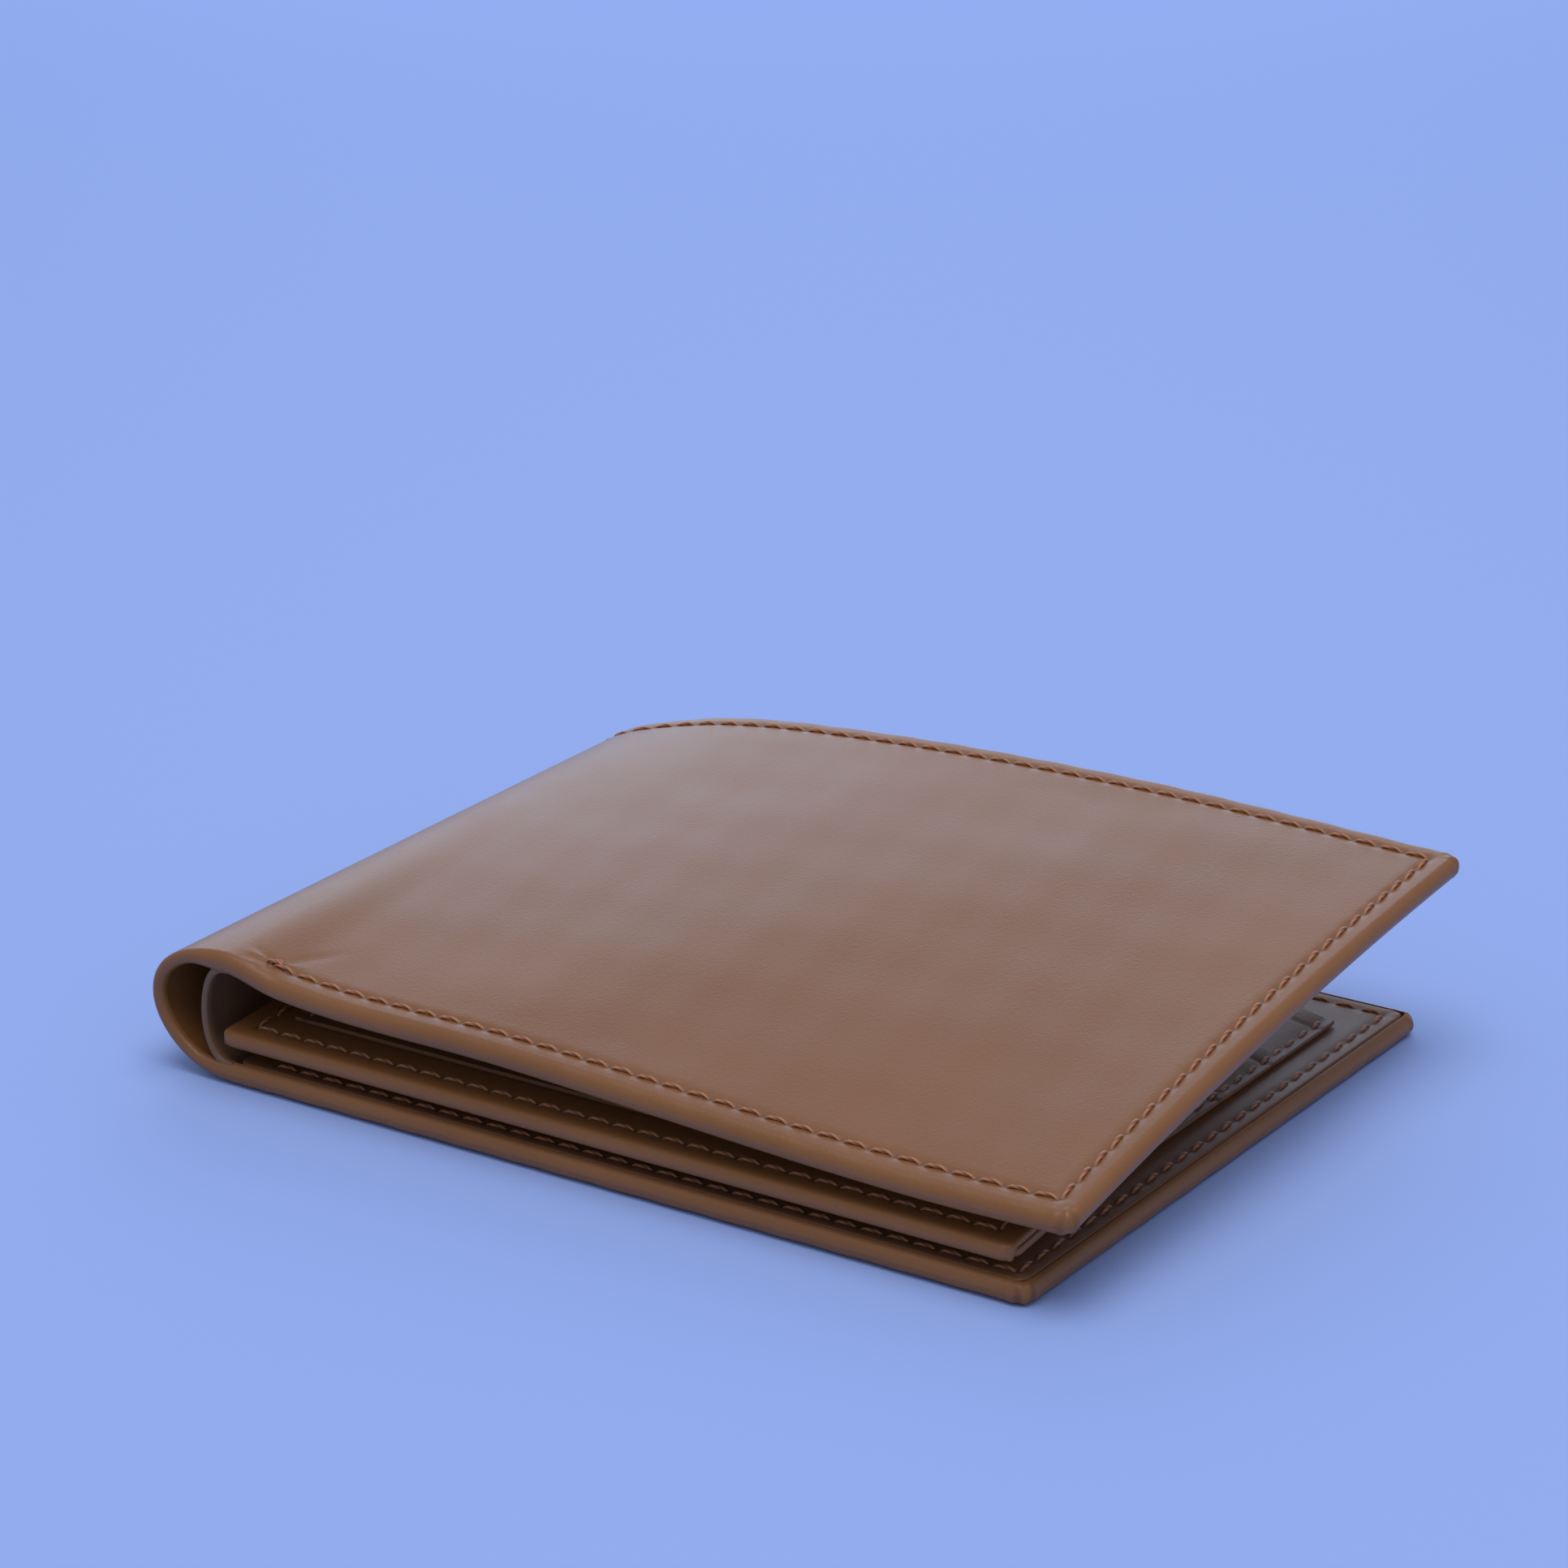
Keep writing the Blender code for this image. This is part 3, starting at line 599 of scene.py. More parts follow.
def leather_grain_group():
    """Fine pebbled grain, pores and slow mottling of finished leather."""
    name = "leather_grain"
    if name in bpy.data.node_groups:
        return bpy.data.node_groups[name]
    inputs = [("Place", "NodeSocketVector", None), ("Pebbles", "NodeSocketFloat", 1800.0)]
    outputs = [("Height", "NodeSocketFloat"), ("Mottle", "NodeSocketFloat"), ("Pores", "NodeSocketFloat")]
    tree, given, out = group(name, inputs, outputs)
    link = tree.links.new
    pebbles = node(tree, "ShaderNodeTexVoronoi", feature="SMOOTH_F1")
    put(pebbles, Smoothness=0.6, Randomness=0.95)
    link(given.outputs["Place"], pebbles.inputs["Vector"])
    link(given.outputs["Pebbles"], pebbles.inputs["Scale"])
    fine = node(tree, "ShaderNodeTexNoise")
    put(fine, Detail=6.0, Roughness=0.6)
    link(given.outputs["Place"], fine.inputs["Vector"])
    link(maths(tree, "MULTIPLY", given.outputs["Pebbles"], 1.7), fine.inputs["Scale"])
    slow = node(tree, "ShaderNodeTexNoise")
    put(slow, Scale=38.0, Detail=5.0, Roughness=0.62)
    link(given.outputs["Place"], slow.inputs["Vector"])
    pores = node(tree, "ShaderNodeTexVoronoi", feature="F1")
    put(pores, Randomness=1.0)
    link(given.outputs["Place"], pores.inputs["Vector"])
    link(maths(tree, "MULTIPLY", given.outputs["Pebbles"], 0.45), pores.inputs["Scale"])
    pit = node(tree, "ShaderNodeMapRange", interpolation_type="SMOOTHSTEP")
    put(pit, From_Min=0.02, From_Max=0.16, To_Min=1.0, To_Max=0.0)
    link(pores.outputs["Distance"], pit.inputs["Value"])
    raised = maths(tree, "SUBTRACT", fine.outputs["Fac"], maths(tree, "MULTIPLY", pebbles.outputs["Distance"], 0.7))
    link(maths(tree, "SUBTRACT", raised, maths(tree, "MULTIPLY", pit.outputs["Result"], 0.5)), out.inputs["Height"])
    link(slow.outputs["Fac"], out.inputs["Mottle"])
    link(pit.outputs["Result"], out.inputs["Pores"])
    return tree


def wear_and_shade_group():
    """Colour and roughness of leather that is worn on rims and mottled between, with painted shade darkening its
    seams, holes and creases.
    """
    name = "handled_leather"
    if name in bpy.data.node_groups:
        return bpy.data.node_groups[name]
    inputs = [
        ("Colour", "NodeSocketColor", None),
        ("Worn", "NodeSocketColor", None),
        ("Dark", "NodeSocketColor", None),
        ("Rim", "NodeSocketFloat", 0.0),
        ("Seam", "NodeSocketFloat", 0.0),
        ("Mottle", "NodeSocketFloat", 0.5),
        ("Pores", "NodeSocketFloat", 0.0),
        ("Gloss", "NodeSocketFloat", 0.4),
    ]
    tree, given, out = group(name, inputs, [("Colour", "NodeSocketColor"), ("Roughness", "NodeSocketFloat")])
    link = tree.links.new
    spread = node(tree, "ShaderNodeMapRange")
    put(spread, From_Min=0.35, From_Max=0.65, To_Min=0.0, To_Max=1.0)
    link(given.outputs["Mottle"], spread.inputs["Value"])
    patchy = maths(tree, "MULTIPLY", spread.outputs["Result"], 0.22)
    colour = mixed(tree, patchy, given.outputs["Colour"], given.outputs["Worn"])
    worn = maths(tree, "MULTIPLY", given.outputs["Rim"], maths(tree, "ADD", spread.outputs["Result"], 0.25))
    colour = mixed(tree, maths(tree, "MULTIPLY", worn, 0.5), colour, given.outputs["Worn"])
    # Painted shade: the seam mark darkens grooves, holes and creases towards the dark colour.
    colour = mixed(tree, maths(tree, "MULTIPLY", given.outputs["Seam"], 0.7), colour, given.outputs["Dark"])
    colour = mixed(tree, maths(tree, "MULTIPLY", given.outputs["Pores"], 0.25), colour, given.outputs["Dark"])
    link(colour, out.inputs["Colour"])
    rough = maths(tree, "ADD", given.outputs["Gloss"], maths(tree, "MULTIPLY", spread.outputs["Result"], 0.07))
    link(maths(tree, "ADD", rough, maths(tree, "MULTIPLY", given.outputs["Seam"], 0.15)), out.inputs["Roughness"])
    return tree


def shade(colour, factor):
    return (*[min(1.0, c * factor) for c in colour], 1.0)


def new_material(name):
    material = bpy.data.materials.new(name)
    material.use_nodes = True
    tree = material.node_tree
    return material, tree, tree.nodes["Principled BSDF"]


def marked(tree, name, kind="Fac"):
    made = node(tree, "ShaderNodeAttribute", attribute_name=name)
    return made.outputs[kind]


def leather(name, colour, gloss, pebble_scale=1.0, bump=0.5, coat=0.08):
    """Finished leather with the wallet's grain, wear, and seam marks that are painted shade and rougher."""
    if name in bpy.data.materials:
        return bpy.data.materials[name]
    material, tree, shader = new_material(name)
    link = tree.links.new
    grain = node(tree, "ShaderNodeGroup", node_tree=leather_grain_group())
    put(grain, Pebbles=1.0 / (sizes().grain * pebble_scale))
    link(marked(tree, "rest", "Vector"), grain.inputs["Place"])
    wear_and_shade = node(tree, "ShaderNodeGroup", node_tree=wear_and_shade_group())
    # Dark is the painted shade colour for seams and creases; it also darkens the grain's pores.
    put(wear_and_shade, Colour=shade(colour, 1.0), Worn=shade(colour, 1.28), Dark=shade(colour, 0.42), Gloss=gloss)
    link(marked(tree, "rim"), wear_and_shade.inputs["Rim"])
    link(marked(tree, "seam"), wear_and_shade.inputs["Seam"])
    link(grain.outputs["Mottle"], wear_and_shade.inputs["Mottle"])
    link(grain.outputs["Pores"], wear_and_shade.inputs["Pores"])
    relief = node(tree, "ShaderNodeBump")
    put(relief, Strength=bump, Distance=0.05 * MM)
    link(grain.outputs["Height"], relief.inputs["Height"])
    link(wear_and_shade.outputs["Colour"], shader.inputs["Base Color"])
    link(wear_and_shade.outputs["Roughness"], shader.inputs["Roughness"])
    link(relief.outputs["Normal"], shader.inputs["Normal"])
    shader.inputs["Specular IOR Level"].default_value = 0.36
    shader.inputs["Coat Weight"].default_value = coat
    shader.inputs["Coat Roughness"].default_value = 0.3
    return material


def cover_leather():
    return leather("cover_leather", colours().cover, 0.33)


def card_leather():
    return leather("card_side_leather", colours().card, 0.45, 1.1, 0.6, 0.04)


def divider_leather():
    return leather("divider_leather", colours().divider, 0.55, 1.3, 0.5, 0.0)


def thread_material():
    """Two-ply waxed thread, with painted shade between the plies, painted light on their crowns and a pale peach
    painted highlight towards both ends of each stitch.
    """
    name = "sewing_thread"
    if name in bpy.data.materials:
        return bpy.data.materials[name]
    material, tree, shader = new_material(name)
    link = tree.links.new
    thread = colours().thread
    # Painted shade in the grooves between the plies and painted light on their crowns.
    ply = mixed(tree, marked(tree, "ply"), shade(thread, 0.42), shade(thread, 1.25))
    # Painted highlight: each stitch turns paler peach towards both ends.
    painted_end_highlight = maths(tree, "MULTIPLY", marked(tree, "tip"), 0.6)
    link(mixed(tree, painted_end_highlight, ply, (0.58, 0.30, 0.18, 1.0)), shader.inputs["Base Color"])
    fibres = node(tree, "ShaderNodeTexNoise")
    put(fibres, Scale=9000.0, Detail=3.0)
    link(marked(tree, "rest", "Vector"), fibres.inputs["Vector"])
    relief = node(tree, "ShaderNodeBump")
    put(relief, Strength=0.4, Distance=0.03 * MM)
    link(fibres.outputs["Fac"], relief.inputs["Height"])
    link(relief.outputs["Normal"], shader.inputs["Normal"])
    shader.inputs["Roughness"].default_value = 0.55
    shader.inputs["Sheen Weight"].default_value = 0.2
    return material


def film_material():
    """Clear plastic film, with the faint rubs that cards leave."""
    name = "window_film"
    if name in bpy.data.materials:
        return bpy.data.materials[name]
    material, tree, shader = new_material(name)
    link = tree.links.new
    rubs = node(tree, "ShaderNodeTexNoise")
    put(rubs, Scale=260.0, Detail=7.0, Roughness=0.7)
    link(marked(tree, "rest", "Vector"), rubs.inputs["Vector"])
    gloss = node(tree, "ShaderNodeMapRange")
    put(gloss, From_Min=0.3, From_Max=0.75, To_Min=0.05, To_Max=0.22)
    link(rubs.outputs["Fac"], gloss.inputs["Value"])
    link(gloss.outputs["Result"], shader.inputs["Roughness"])
    relief = node(tree, "ShaderNodeBump")
    put(relief, Strength=0.15, Distance=0.05 * MM)
    link(rubs.outputs["Fac"], relief.inputs["Height"])
    link(relief.outputs["Normal"], shader.inputs["Normal"])
    shader.inputs["Base Color"].default_value = shade(colours().film, 1.0)
    shader.inputs["Alpha"].default_value = 0.3
    return material


# Covers


def cover_rows():
    edges = round_lines(NEAR_Y, 1, ROLL_RADIUS) + round_lines(FAR_Y, -1, ROLL_RADIUS)
    folds = roll_end_lines(NEAR_Y, 1) + roll_end_lines(FAR_Y, -1)
    return lines(NEAR_Y, FAR_Y, STEP, edges, folds, seam_lines(NEAR_STITCH, FAR_STITCH))


def roll_end_lines(edge, inner_side):
    """Lines where a cover's roll ends, beside the card panel."""
    return [edge + inner_side * ROLL_WIDTH * share for share in (0.84, 0.92, 1.0)]


def rolled(distance, at_rim):
    """Thickness of a cover that is rolled over along its edge."""
    return lerp(at_rim, COVER, ease(0.84 * ROLL_WIDTH, ROLL_WIDTH, distance))


def turned(distance, at_rim):
    """Thickness of one of the flap's leathers, which is turned over at its sides."""
    return lerp(at_rim, FLAP_SKIN, ease(0.55 * FLAP_RIM_WIDTH, FLAP_RIM_WIDTH, distance))


def leaf_runs(half):
    across = half.edge - STITCH_INSET
    return counted(
        Run("y", NEAR_STITCH, SEAM_X, across),
        Run("x", across, NEAR_STITCH, FAR_STITCH),
        Run("y", FAR_STITCH, half.leaf_start, across),
    )


def leaf_leather(half):
    """The flat leaf of one cover, turned over at its edges and drawn in along its seams."""
    runs = leaf_runs(half)
    groove, wave = sizes().groove / MM, sizes().unevenness / MM

    def distance(x, y):
        return np.minimum(half.edge - x, np.minimum(y - NEAR_Y, FAR_Y - y))

    def face(x, y, side):
        from_edge = distance(x, y)
        drop = edge_drop(from_edge, ROLL_RADIUS)
        gathers = 0.24 * corner_pleats(x, y, half.edge, (NEAR_Y, FAR_Y))
        edge_wave = 0.05 * np.exp(-from_edge / 1.5) * np.sin(0.9 * x + 0.7 * y) * ease(0, 6, x - half.leaf_start)
        if side == 0:
            rise = wave * ripple(x, y) * ease(2, 16, x - half.leaf_start) * ease(3, 9, from_edge)
            depth = drop + groove * seam_marks(runs, x, y) - rise + gathers + edge_wave
            depth = depth + handling_creases(x, y) * ease(0, 2, x - half.leaf_start)
            depth = np.maximum(depth, 0.0) if half is BACK else depth
        else:
            depth = rolled(from_edge, RIM_STACK) - drop + 0.5 * gathers
        new_x, new_y = round_corners(x, y, (None, half.edge), (NEAR_Y, FAR_Y))
        out_x, out_z = half.layer(new_x, new_y, depth)
        return out_x, new_y, out_z

    def marks(x, y):
        # Painted shade in the corner gathers, added to the seam mark.
        pleat_shade = 0.8 * np.clip(corner_pleats(x, y, half.edge, (NEAR_Y, FAR_Y)), 0.0, 1.0)
        seam = np.maximum(hole_marks(seam_marks(runs, x, y)), pleat_shade)
        return {"rim": np.exp(-distance(x, y) / 0.6), "seam": seam}

    edges = round_lines(half.edge, -1, ROLL_RADIUS)
    folds = roll_end_lines(half.edge, -1) + [half.leaf_start + 0.2]
    columns = lines(half.leaf_start, half.edge, STEP, edges, folds, seam_lines(half.edge - STITCH_INSET))
    data = grid_mesh(half.name + "_leather", columns, cover_rows(), face, marks)
    piece = add_piece(half.name + "_leather", data, cover_leather(), "outer_leather", half.name + "_cover")
    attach(piece, half.name + "_half")


def bending_length(name, columns, rows, face, marks, material, slot, nodes):
    """One length of the spine, curved across one hinge."""
    data = grid_mesh(name, columns, rows, face, marks)
    piece = add_piece(name, data, material, slot, *nodes)
    ends = []
    for at in (columns[0], columns[-1]):
        at_end = [np.stack(face(np.full(len(rows), at), rows, side), axis=-1) for side in (0, 1)]
        ends.append(np.concatenate(at_end) * MM)
    start, end = blend_ends(ends, 0, 1)
    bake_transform(piece)
    return start, end


def hem_run(start, end):
    """The hem's run across one length of the spine, with its number of stitches."""
    places = np.linspace(start, end, 60)
    x, z = spine_face(places, FAR_STITCH + 0 * places)
    return Run("y", FAR_STITCH, start, end), stitch_count(np.hypot(np.diff(x), np.diff(z)).sum())


def spine_leather():
    groove = sizes().groove / MM
    rows = cover_rows()
    ends = length_ends(spine_face)
    blends = []
    for number, (start, end) in enumerate(zip(ends, ends[1:]), 1):
        run, count = hem_run(start, end)

        def hem(at, y, run=run, count=count):
            share = (at - run.start) / (run.end - run.start)
            pull = 0.72 + 0.28 * np.cos(2 * math.pi * share * count)
            return pull * np.exp(-(((y - FAR_STITCH) / GROOVE_WIDTH) ** 2))

        def distance(y):
            return np.minimum(y - NEAR_Y, FAR_Y - y)

        def face(at, y, side, hem=hem):
            open_rim = lerp(RIM_STACK, SPINE_RIM, ease(0.0, 0.35, at) * ease(2.0, 1.65, at))
            drop = edge_drop(distance(y), open_rim / 2 - 0.01)
            if side == 0:
                depth = drop + groove * hem(at, y)
            else:
                depth = rolled(distance(y), open_rim) - drop
            x, z = spine_layer(at, y, depth)
            return x, y, z

        def marks(at, y, hem=hem):
            return {"rim": np.exp(-distance(y) / 0.6), "seam": hole_marks(hem(at, y))}

        columns = lines(start, end, 0.045, [start + 0.01, end - 0.01])
        nodes = [f"spine_cover_{number}"] if number < JOINTS else []
        name = f"spine_leather_{number}"
        blends.append(
            bending_length(name, columns, rows, face, marks, cover_leather(), "outer_leather", nodes)
        )
    return list(zip(ends, ends[1:], blends))


# Divider


def divider_rows():
    low, high = NEAR_Y + EDGE_MARGIN, FAR_Y - EDGE_MARGIN
    radius = 0.48 * DIVIDER
    return lines(low, high, 2.0, round_lines(low, 1, radius), round_lines(high, -1, radius))


def plain_marks(distance):
    def marks(c, y):
        from_edge = distance(c, y)
        return {"rim": np.exp(-from_edge / 0.6), "seam": 0.0 * from_edge}

    return marks


def divider():
    radius = 0.48 * DIVIDER
    rows = divider_rows()

    def y_distance(c, y):
        return np.minimum(y - rows[0], rows[-1] - y) + 0 * c

    for half in HALVES:
        edge = half.edge - EDGE_MARGIN

        def distance(x, y, edge=edge):
            return np.minimum(edge - x, y_distance(x, y))

        def face(x, y, side, half=half, distance=distance):
            drop = edge_drop(distance(x, y), radius)
            out_x, z = half.layer(x, y, BILL_SIDE + (drop if side == 0 else DIVIDER - drop))
            return out_x, y, z

        columns = lines(TURN_X, edge, 2.5, round_lines(edge, -1, radius), [TURN_X + 0.2])
        name = half.name + "_divider_leather"
        data = grid_mesh(name, columns, rows, face, plain_marks(distance))
        piece = add_piece(name, data, divider_leather(), "divider_leather", half.name + "_divider")
        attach(piece, half.name + "_half")

    low, high = NEAR_Y + TURN_INSET, FAR_Y - TURN_INSET
    rows = lines(low, high, 2.0, round_lines(low, 1, 0.4), round_lines(high, -1, 0.4), [low + 1.0, high - 1.0])

    def turn_distance(at, y):
        return np.minimum(y - low, high - y) + 0 * at

    def turn_thickness(at, y):
        """The turn's own edges are folded over, most where they meet the card panels."""
        folded = 1 - ease(1.0, 1.6, turn_distance(at, y))
        return DIVIDER + folded * lerp(0.45, RIM_STACK - BILL_SIDE - DIVIDER, ease(0.5, 1.0, np.abs(at - 1)))

    ends = length_ends(turn_face)
    for number, (start, end) in enumerate(zip(ends, ends[1:]), 1):

        def face(at, y, side):
            thick = turn_thickness(at, y)
            drop = edge_drop(turn_distance(at, y), np.minimum(0.4, 0.48 * thick))
            x, z = turn_layer(at, y, drop if side == 0 else thick - drop)
            return x, y, z

        columns = lines(start, end, 0.05, [start + 0.02, end - 0.02])
        nodes = [f"spine_divider_{number}"] if number < JOINTS else []
        bending_length(
            f"divider_turn_{number}", columns, rows, face, plain_marks(turn_distance),
            divider_leather(), "divider_leather", nodes,
        )


# Card sides


def panel_runs(half):
    across = half.edge - STITCH_INSET
    start = PANEL_X + 1.5
    return counted(
        Run("y", NEAR_STITCH, max(SEAM_X, start), across),
        Run("x", across, NEAR_STITCH, FAR_STITCH),
        Run("y", FAR_STITCH, start, across),
    )


def card_panel(half):
    radius = 0.46 * PANEL
    groove = 0.7 * sizes().groove / MM
    runs = panel_runs(half)
    edge, low, high = half.edge - PANEL_INSET, NEAR_Y + PANEL_INSET, FAR_Y - PANEL_INSET

    def distance(x, y):
        return np.minimum(np.minimum(edge - x, x - PANEL_X), np.minimum(y - low, high - y))

    def face(x, y, side):
        from_edge = distance(x, y)
        drop = edge_drop(from_edge, radius)
        if side == 0:
            depth = RIM_STACK - PANEL + drop
        else:
            gathers = 0.06 * corner_pleats(x, y, edge, (low, high))
            depth = RIM_STACK + PANEL_PROUD - drop - groove * seam_marks(runs, x, y) - gathers
        new_x, new_y = round_corners(x, y, (PANEL_X, edge), (low, high), 1.2)
        out_x, z = half.layer(new_x, new_y, depth)
        return out_x, new_y, z

    def marks(x, y):
        return {"rim": np.exp(-distance(x, y) / 0.6), "seam": hole_marks(seam_marks(runs, x, y))}

    edges = round_lines(edge, -1, radius) + round_lines(PANEL_X, 1, radius)
    columns = lines(PANEL_X, edge, CARD_STEP, edges, seam_lines(half.edge - STITCH_INSET))
    ends = round_lines(low, 1, radius) + round_lines(high, -1, radius)
    rows = lines(low, high, CARD_STEP, ends, seam_lines(NEAR_STITCH, FAR_STITCH))
    name = half.name + "_card_leather"
    data = grid_mesh(name, columns, rows, face, marks)
    piece = add_piece(name, data, card_leather(), "card_leather", half.name + "_card_panel")
    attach(piece, half.name + "_half")


def slot_leather(node_name, layer, base, body):
    """One slot: it leaves its carrier towards its mouth, which is turned over and creased."""
    (left, start, _), (right, mouth, _) = node_box(node_name)
    lift_at_mouth = 0.7
    radius = 0.46 * POCKET

    def lift_of(x, y):
        from_sides = ease(0.6, 5.0, np.minimum(x - left, right - x))
        return lift_at_mouth * (y - start) / (mouth - start) * lerp(0.12, 1.0, from_sides)

    def distance(x, y):
        return np.minimum(np.minimum(right - x, x - left), mouth - y)

    def sides(x, y):
        across = np.minimum(np.abs(x - left - SIDE_SEAM_INSET), np.abs(x - right + SIDE_SEAM_INSET))
        return np.exp(-((across / 0.45) ** 2))

    def face(x, y, side):
        lift = lift_of(x, y)
        drop = edge_drop(distance(x, y), radius)
        if side == 0:
            crease = CREASE_DEPTH * np.exp(-(((y - mouth + CREASE_FROM_MOUTH) / 0.3) ** 2))
            depth = base + lift + POCKET - drop - crease - 0.12 * sides(x, y)
        else:
            bead = MOUTH_BEAD * ease(BEAD_WIDTH, 0.6 * BEAD_WIDTH, mouth - y)
            depth = base + lift - np.minimum(bead, 0.8 * lift) + drop
        new_x, new_y = round_corners(x, y, (left, right), (None, mouth), 0.6)
        out_x, z = layer(new_x, new_y, depth)
        return out_x, new_y, z

    def marks(x, y):
        # Painted shade in the crease behind the mouth and along the side seams, carried in the seam mark.
        crease = np.exp(-(((y - mouth + CREASE_FROM_MOUTH) / 0.35) ** 2))
        return {"rim": np.exp(-distance(x, y) / 0.5), "seam": np.maximum(0.6 * crease, 0.7 * sides(x, y))}

    side_lines = [side + k * 0.35 for side in (left + SIDE_SEAM_INSET, right - SIDE_SEAM_INSET) for k in (-1, 0, 1)]
    edges = round_lines(left, 1, radius) + round_lines(right, -1, radius)
    columns = lines(left, right, 2.0, edges, side_lines)
    folds = [mouth - CREASE_FROM_MOUTH + k * 0.3 for k in (-1, 0, 1)] + [mouth - BEAD_WIDTH]
    rows = lines(start, mouth, 1.5, round_lines(mouth, -1, radius), folds)
    name = node_name.replace("_card_slot_", "_slot_leather_")
    data = grid_mesh(name, columns, rows, face, marks)
    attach(add_piece(name, data, card_leather(), "card_leather", node_name), body)

    def outer_layer(x, y, depth):
        return layer(x, y, base + lift_of(x, y) + POCKET - 0.08 + depth)

    sewn = counted(*[Run("x", x, start + 0.6, mouth - 0.9) for x in (left + SIDE_SEAM_INSET, right - SIDE_SEAM_INSET)])
    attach(stitching(name.replace("leather", "stitches"), sewn, outer_layer, 0.0, -1, 0.07), body)


def card_sides():
    for half in HALVES:
        card_panel(half)
        for number in range(1, 5):
            name = f"{half.name}_card_slot_{number}"
            slot_leather(name, half.layer, RIM_STACK + CLEARANCE, half.name + "_half")


# Flap


def window_box():
    (left, low, _), (right, high, _) = node_box("flap_window_film")
    return left + WINDOW_LAP, right - WINDOW_LAP, low + WINDOW_LAP, high - WINDOW_LAP


def flap_runs():
    left, right = FLAP_LEFT_X + STITCH_INSET, FLAP_RIGHT_X - STITCH_INSET
    near = FLAP_NEAR_Y + STITCH_INSET
    end = FLAP_FAR_Y - 1.0
    return counted(Run("x", left, near, end), Run("y", near, left, right), Run("x", right, near, end))


def window_runs():
    left, right, low, high = window_box()
    out = 2.0
    left, right, low, high = left - out, right + out, low - out, high + out
    return counted(
        Run("y", low, left, right), Run("x", right, low, high), Run("y", high, left, right), Run("x", left, low, high)
    )


def flap_upper():
    roll = FLAP_STACK / 2 - 0.02
    side_radius = 0.48 * (FLAP_STACK / 2)
    runs = flap_runs()
    groove = 0.8 * sizes().groove / MM

    def side_distance(x):
        return np.minimum(x - FLAP_LEFT_X, FLAP_RIGHT_X - x)

    def face(x, y, side):
        near = y - FLAP_NEAR_Y
        drop = np.maximum(edge_drop(near, roll), edge_drop(side_distance(x), side_radius))
        at_side = turned(side_distance(x), FLAP_STACK / 2 - RIM_GAP / 2)
        thick = lerp(FLAP_STACK, at_side, ease(0.75 * FLAP_ROLL, FLAP_ROLL, near))
        depth = drop + groove * seam_marks(runs, x, y) if side == 0 else thick - drop
        new_x, new_y = round_corners(x, y, (FLAP_LEFT_X, FLAP_RIGHT_X), (FLAP_NEAR_Y, None), 1.3)
        out_x, z = flap_layer(new_x, new_y, depth)
        return out_x, new_y, z

    def marks(x, y):
        rim = np.exp(-np.minimum(side_distance(x), y - FLAP_NEAR_Y) / 0.6)
        return {"rim": rim, "seam": hole_marks(seam_marks(runs, x, y))}

    seams = seam_lines(FLAP_LEFT_X + STITCH_INSET, FLAP_RIGHT_X - STITCH_INSET)
    edges = round_lines(FLAP_LEFT_X, 1, side_radius) + round_lines(FLAP_RIGHT_X, -1, side_radius)
    columns = lines(FLAP_LEFT_X, FLAP_RIGHT_X, CARD_STEP, edges, seams)
    rows = lines(
        FLAP_NEAR_Y, FLAP_FAR_Y, CARD_STEP, round_lines(FLAP_NEAR_Y, 1, roll),
        [FLAP_NEAR_Y + FLAP_ROLL], seam_lines(FLAP_NEAR_Y + STITCH_INSET),
    )
    data = grid_mesh("flap_top_leather", columns, rows, face, marks)
    piece = add_piece("flap_top_leather", data, cover_leather(), "outer_leather", "flap_upper_leather")
    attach(piece, "flap")


def flap_lower():
    near_y = FLAP_NEAR_Y + FLAP_ROLL + RIM_GAP
    radius = 0.46 * FLAP_SKIN
    left, right, low, high = window_box()
    runs = flap_runs() + window_runs()
    groove = 0.7 * sizes().groove / MM

    def hole_distance(x, y):
        across = np.maximum(np.maximum(left - x, x - right), 0.0)
        along = np.maximum(np.maximum(low - y, y - high), 0.0)
        return np.hypot(across, along)

    def distance(x, y):
        outside = np.minimum(np.minimum(x - FLAP_LEFT_X, FLAP_RIGHT_X - x), y - near_y)
        return np.minimum(outside, hole_distance(x, y))

    def face(x, y, side):
        drop = edge_drop(distance(x, y), radius)
        side_rim = np.minimum(x - FLAP_LEFT_X, FLAP_RIGHT_X - x)
        thick = turned(side_rim, FLAP_STACK / 2 - RIM_GAP / 2)
        depth = FLAP_STACK - thick + drop if side == 0 else FLAP_STACK - drop - groove * seam_marks(runs, x, y)
        new_x, new_y = round_corners(x, y, (FLAP_LEFT_X, FLAP_RIGHT_X), (near_y, None), 1.3)
        out_x, z = flap_layer(new_x, new_y, depth)
        return out_x, new_y, z

    def marks(x, y):
        return {"rim": np.exp(-distance(x, y) / 0.6), "seam": hole_marks(seam_marks(runs, x, y))}

    def keep(x, y):
        return ~((x > left) & (x < right) & (y > low) & (y < high))

    edges = round_lines(FLAP_LEFT_X, 1, radius) + round_lines(FLAP_RIGHT_X, -1, radius)
    edges += round_lines(left, -1, radius) + round_lines(right, 1, radius)
    seams = seam_lines(FLAP_LEFT_X + STITCH_INSET, FLAP_RIGHT_X - STITCH_INSET, left - 2.0, right + 2.0)
    columns = lines(FLAP_LEFT_X, FLAP_RIGHT_X, CARD_STEP, edges, seams)
    edges = round_lines(near_y, 1, radius) + round_lines(low, -1, radius) + round_lines(high, 1, radius)
    seams = seam_lines(FLAP_NEAR_Y + STITCH_INSET, low - 2.0, high + 2.0)
    rows = lines(near_y, FLAP_FAR_Y, CARD_STEP, edges, seams)
    data = grid_mesh("flap_under_leather", columns, rows, face, marks, keep)
    piece = add_piece("flap_under_leather", data, cover_leather(), "outer_leather", "flap_lower_leather")
    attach(piece, "flap")


